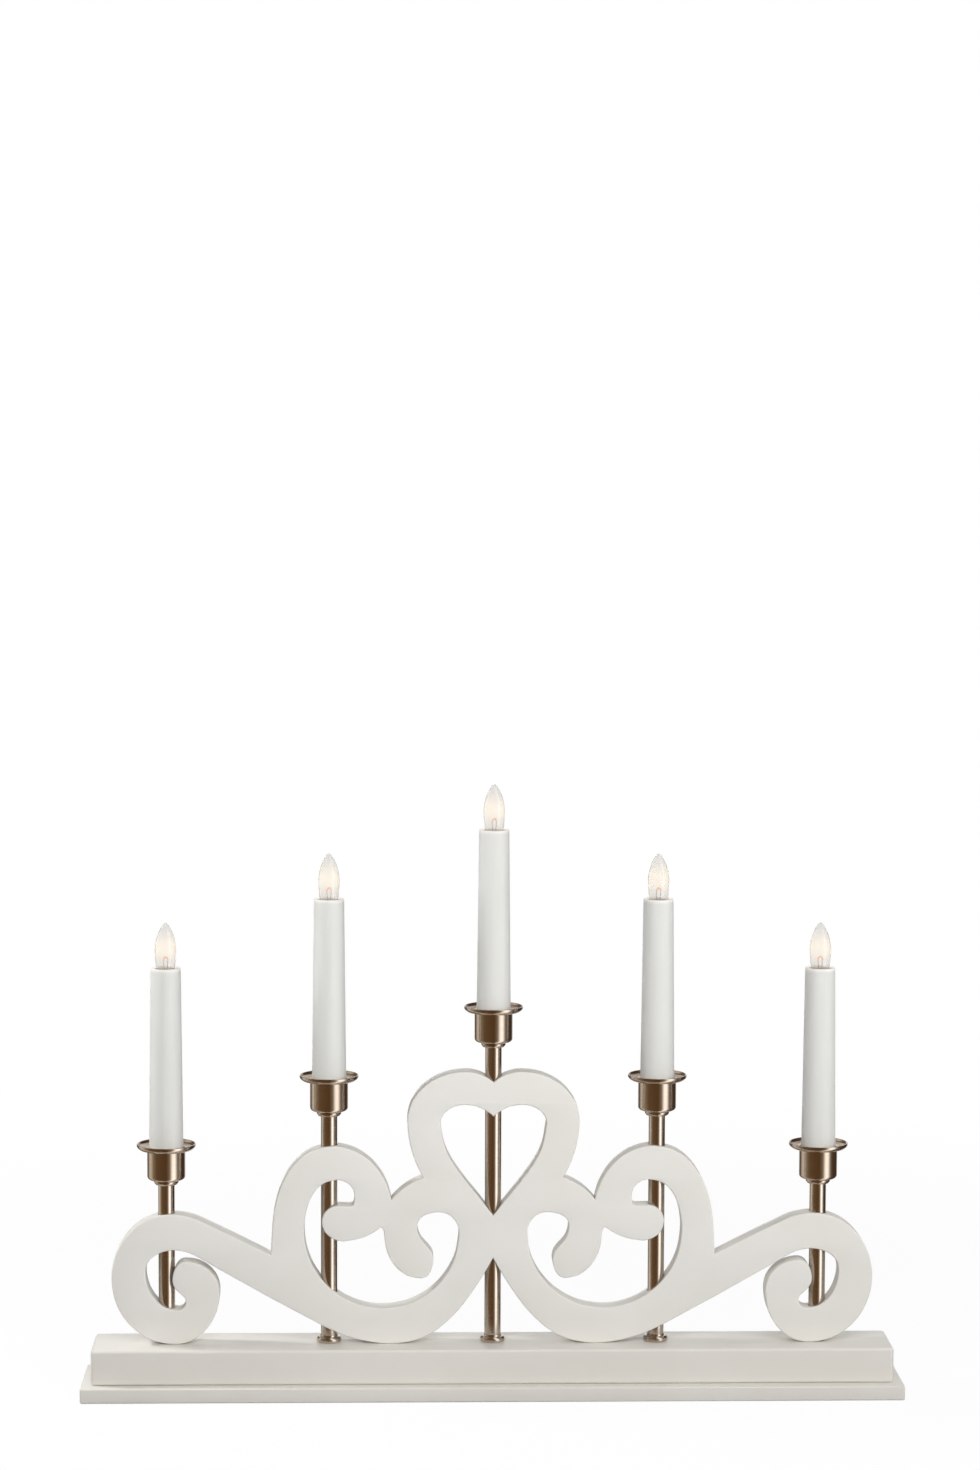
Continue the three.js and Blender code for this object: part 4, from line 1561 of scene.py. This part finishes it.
@dataclass(frozen=True)
class Wiring:
    """The two-core lead inside: along the channel, to the bushing and up every stem."""

    core_radius: float = 0.6
    bend: float = 3.0

    def build(self, stands: Sequence[Stand]) -> None:
        """Builds both cores of every stretch.

        Args:
            stands: where the stems stand.
        """
        low, high = node_box("wiring_loom")
        level = low.z + 2 * self.core_radius
        side = self.core_radius
        cores = []
        for y in (-side, side):
            ends = [Vector((stands[0].x - 1, y, level)), Vector((stands[-1].x + 1, y, level))]
            cores.append(tube("core", ends, self.core_radius))
        for stand in stands:
            top = node_box(f"centre_contact_{stand.number}")[0].z - 0.5
            for x in (-side, side):
                cores.append(tube("core", [Vector((stand.x + x, 0, level)), Vector((stand.x + x, 0, top))], side))
        bushing = node_box("cord_bushing")
        x = (bushing[0].x + bushing[1].x) / 2
        for shift in (-side, side):
            ends = [Vector((x + shift, 0, level)), Vector((x + shift, high.y, level))]
            cores.append(tube("core", ends, self.core_radius))
        install("lead", joined("lead", cores), LEAD_JACKET, nodes=["wiring_loom"])


@dataclass(frozen=True)
class PhotoCamera:
    """The camera that took the photograph, as fitted to it."""

    place: Colour = (-0.06707, -2.17074, 0.58277)
    yaw: float = 0.0296
    pitch: float = 0.0826
    roll: float = -0.0035
    focal_pixels: float = 3604.98
    long_side: int = 1470
    sensor: float = 36.0

    def build(self) -> None:
        """Makes the camera and looks through it."""
        ahead = Vector((
            math.sin(self.yaw) * math.cos(self.pitch),
            math.cos(self.yaw) * math.cos(self.pitch),
            -math.sin(self.pitch),
        ))
        level = Vector((math.cos(self.yaw), -math.sin(self.yaw), 0.0))
        down = ahead.cross(level)
        right = math.cos(self.roll) * level + math.sin(self.roll) * down
        below = -math.sin(self.roll) * level + math.cos(self.roll) * down
        data = bpy.data.cameras.new("photo_camera")
        data.sensor_width = self.sensor
        data.lens = self.focal_pixels * self.sensor / self.long_side
        data.clip_start, data.clip_end = 0.05, 100.0
        camera = bpy.data.objects.new("photo_camera", data)
        turn = Matrix((right, -below, -ahead)).transposed()
        camera.matrix_world = Matrix.Translation(self.place) @ turn.to_4x4()
        bpy.context.scene.collection.objects.link(camera)
        bpy.context.scene.camera = camera


@dataclass(frozen=True)
class Softbox:
    """One square studio lamp that points at the object. Shiny surfaces mirror the world alone."""

    name: str
    place: Colour
    side: float
    power: float
    target: Colour = (0.0, 0.0, 0.13)

    def build(self) -> None:
        """Makes the lamp, points it and hides it from the camera, behind glass and in reflections."""
        data = bpy.data.lights.new(self.name, "AREA")
        data.size = self.side
        data.energy = self.power
        lamp = bpy.data.objects.new(self.name, data)
        lamp.location = self.place
        aim = Vector(self.target) - Vector(self.place)
        lamp.rotation_euler = aim.to_track_quat("-Z", "Y").to_euler()
        lamp.visible_camera = False
        lamp.visible_transmission = False
        lamp.visible_glossy = False
        bpy.context.scene.collection.objects.link(lamp)


@dataclass(frozen=True)
class Wall:
    """One upright stretch of the studio as shiny pieces mirror it: where it ends, and how light it is."""

    bearing: float
    light: Colour


@dataclass(frozen=True)
class Studio:
    """A white floor and backdrop with soft lamps, in a dim room that only shiny pieces show."""

    fill: float = 0.09
    peak: float = 2.4
    floor_size: float = 30.0
    floor_drop: float = 0.0001
    floor_white: float = 0.95
    floor_fade: Point = (0.35, 1.1)
    floor_return: float = 0.35
    lamps: tuple[Softbox, ...] = (
        Softbox("back", (-0.4, 1.0, 0.42), 0.6, 2.4),
        Softbox("back_right", (0.85, 0.2, 0.26), 0.35, 1.2),
        Softbox("side_right", (0.73, -0.49, 0.34), 0.45, 2.25),
        Softbox("front_right", (0.26, -0.64, 0.63), 0.45, 2.45),
        Softbox("front_left", (-0.24, -0.66, 0.38), 0.35, 2.3),
        Softbox("side_left", (-0.701, 0.097, 0.471), 0.1, 2.8, target=(-0.15, 0.0, 0.05)),
    )
    walls: tuple[Wall, ...] = (
        Wall(-172, (1.0, 1.0, 1.0)), Wall(-162, (0.16, 0.14, 0.11)), Wall(-138, (0.14, 0.11, 0.085)),
        Wall(-120, (0.85, 0.8, 0.73)), Wall(-104, (0.85, 0.8, 0.73)), Wall(-86, (0.36, 0.28, 0.2)),
        Wall(-60, (0.18, 0.11, 0.06)), Wall(4, (0.135, 0.072, 0.029)), Wall(26, (0.31, 0.245, 0.19)),
        Wall(43, (2.0, 2.02, 2.03)), Wall(57, (2.0, 2.02, 2.03)), Wall(73, (0.34, 0.31, 0.28)),
        Wall(90, (0.12, 0.08, 0.055)), Wall(140, (0.05, 0.03, 0.02)), Wall(168, (1.0, 1.0, 1.0)),
    )

    def build(self) -> None:
        """Makes the surround, the floor and the lamps."""
        bpy.context.scene.view_settings.view_transform = "Standard"
        self.build_surround()
        self.build_floor()
        for lamp in self.lamps:
            lamp.build()

    def build_surround(self) -> None:
        """Makes a world that is white to look at, dim as a light, and a studio in what shiny pieces mirror."""
        world = bpy.data.worlds.new("surround")
        bpy.context.scene.world = world
        graph = Graph(world)
        _, seen, mirrored = graph.rays()
        plain = graph.mix(seen, (self.fill,) * 3, (1.0, 1.0, 1.0))
        inputs = {0: mirrored, 6: plain, 7: self.mirrored(graph)}
        colour = graph.add("Mix", {"data_type": "RGBA"}, inputs).outputs[2]
        graph.feed(graph.tree.nodes["Background"], {"Color": colour, "Strength": 1.0})

    def mirrored(self, graph: Graph) -> bpy.types.NodeSocket:
        """Gives the studio's walls by their bearing: 0 in front, positive to the right, 180 behind.

        Args:
            graph: the world's graph.

        Returns:
            The colour that a shiny piece mirrors.
        """
        way = graph.add("SeparateXYZ", inputs={0: graph.add("TexCoord").outputs["Generated"]})
        ahead = graph.add("Math", {"operation": "MULTIPLY"}, {0: way.outputs["Y"], 1: -1.0}).outputs[0]
        turn = graph.add("Math", {"operation": "ARCTAN2"}, {0: way.outputs["X"], 1: ahead}).outputs[0]
        ramp = graph.add("ValToRGB", inputs={0: graph.spread(turn, (-math.pi, math.pi), (0.0, 1.0))})
        marks = ramp.color_ramp.elements
        for wall in self.walls:
            mark = marks.new(wall.bearing / 360 + 0.5)
            mark.color = (*(part / self.peak for part in wall.light), 1.0)
        for end in (marks[0], marks[-1]):
            end.color = (*(1.0 / self.peak,) * 3, 1.0)
        scale = {0: ramp.outputs[0], 3: self.peak}
        return graph.add("VectorMath", {"operation": "SCALE"}, scale).outputs[0]

    def build_floor(self) -> None:
        """Makes a floor that looks white, takes a soft shadow and throws little light back up."""
        mesh = bpy.data.meshes.new("floor")
        half = self.floor_size / 2
        corners = [(x, y, -self.floor_drop) for x, y in ((-half, -half), (half, -half), (half, half), (-half, half))]
        mesh.from_pydata(corners, [], [(0, 1, 2, 3)])
        graph = Graph.material("white_floor")
        place = graph.place()
        path, seen, mirrored = graph.rays()
        clouds = graph.noise(place, 30.0, 3.0)
        paper = graph.mix(clouds, (0.93, 0.93, 0.93), (0.91, 0.91, 0.91))
        shaded = {0: path.outputs["Is Diffuse Ray"], 6: paper, 7: (*(self.floor_return,) * 3, 1.0)}
        tone = graph.add("Mix", {"data_type": "RGBA"}, shaded).outputs[2]
        graph.feed(graph.shader, {"Base Color": tone, "Roughness": 0.9, "Specular IOR Level": 0.1})
        away = graph.add("VectorMath", {"operation": "LENGTH"}, {0: place}).outputs["Value"]
        share = graph.spread(away, self.floor_fade, (self.floor_white, 1.0), True)
        factor = graph.add("Math", {"operation": "MULTIPLY"}, {0: seen, 1: share}).outputs[0]
        light = graph.add("Emission", inputs={"Strength": 1.0}).outputs[0]
        lit = graph.add("MixShader", inputs={0: factor, 1: graph.shader.outputs[0], 2: light}).outputs[0]
        open_air = graph.add("BsdfTransparent").outputs[0]
        surface = graph.add("MixShader", inputs={0: mirrored, 1: lit, 2: open_air})
        graph.feed(graph.tree.nodes["Material Output"], {"Surface": surface.outputs[0]})
        mesh.materials.append(graph.owner)
        floor = bpy.data.objects.new("floor", mesh)
        bpy.context.scene.collection.objects.link(floor)


def main() -> None:
    """Builds the camera, the studio and the candle holder, in order."""
    logging.basicConfig(level=logging.INFO, format="%(name)s: %(message)s")
    PhotoCamera().build()
    Studio().build()
    stem, cup, sleeve = Stem(), CandleCup(), CandleSleeve()
    holder = Lampholder(cup, sleeve)
    bulb = Bulb(sleeve, holder)
    stands = [Stand.read(number, cup.bead) for number in range(1, 6)]
    Base(stem).build(stands)
    ScrollBoard(stem.bore).build(stands)
    Wiring().build(stands)
    for stand in stands:
        for part in (stem, cup, sleeve, holder, bulb):
            part.build(stand)


if __name__ == "__main__":
    main()
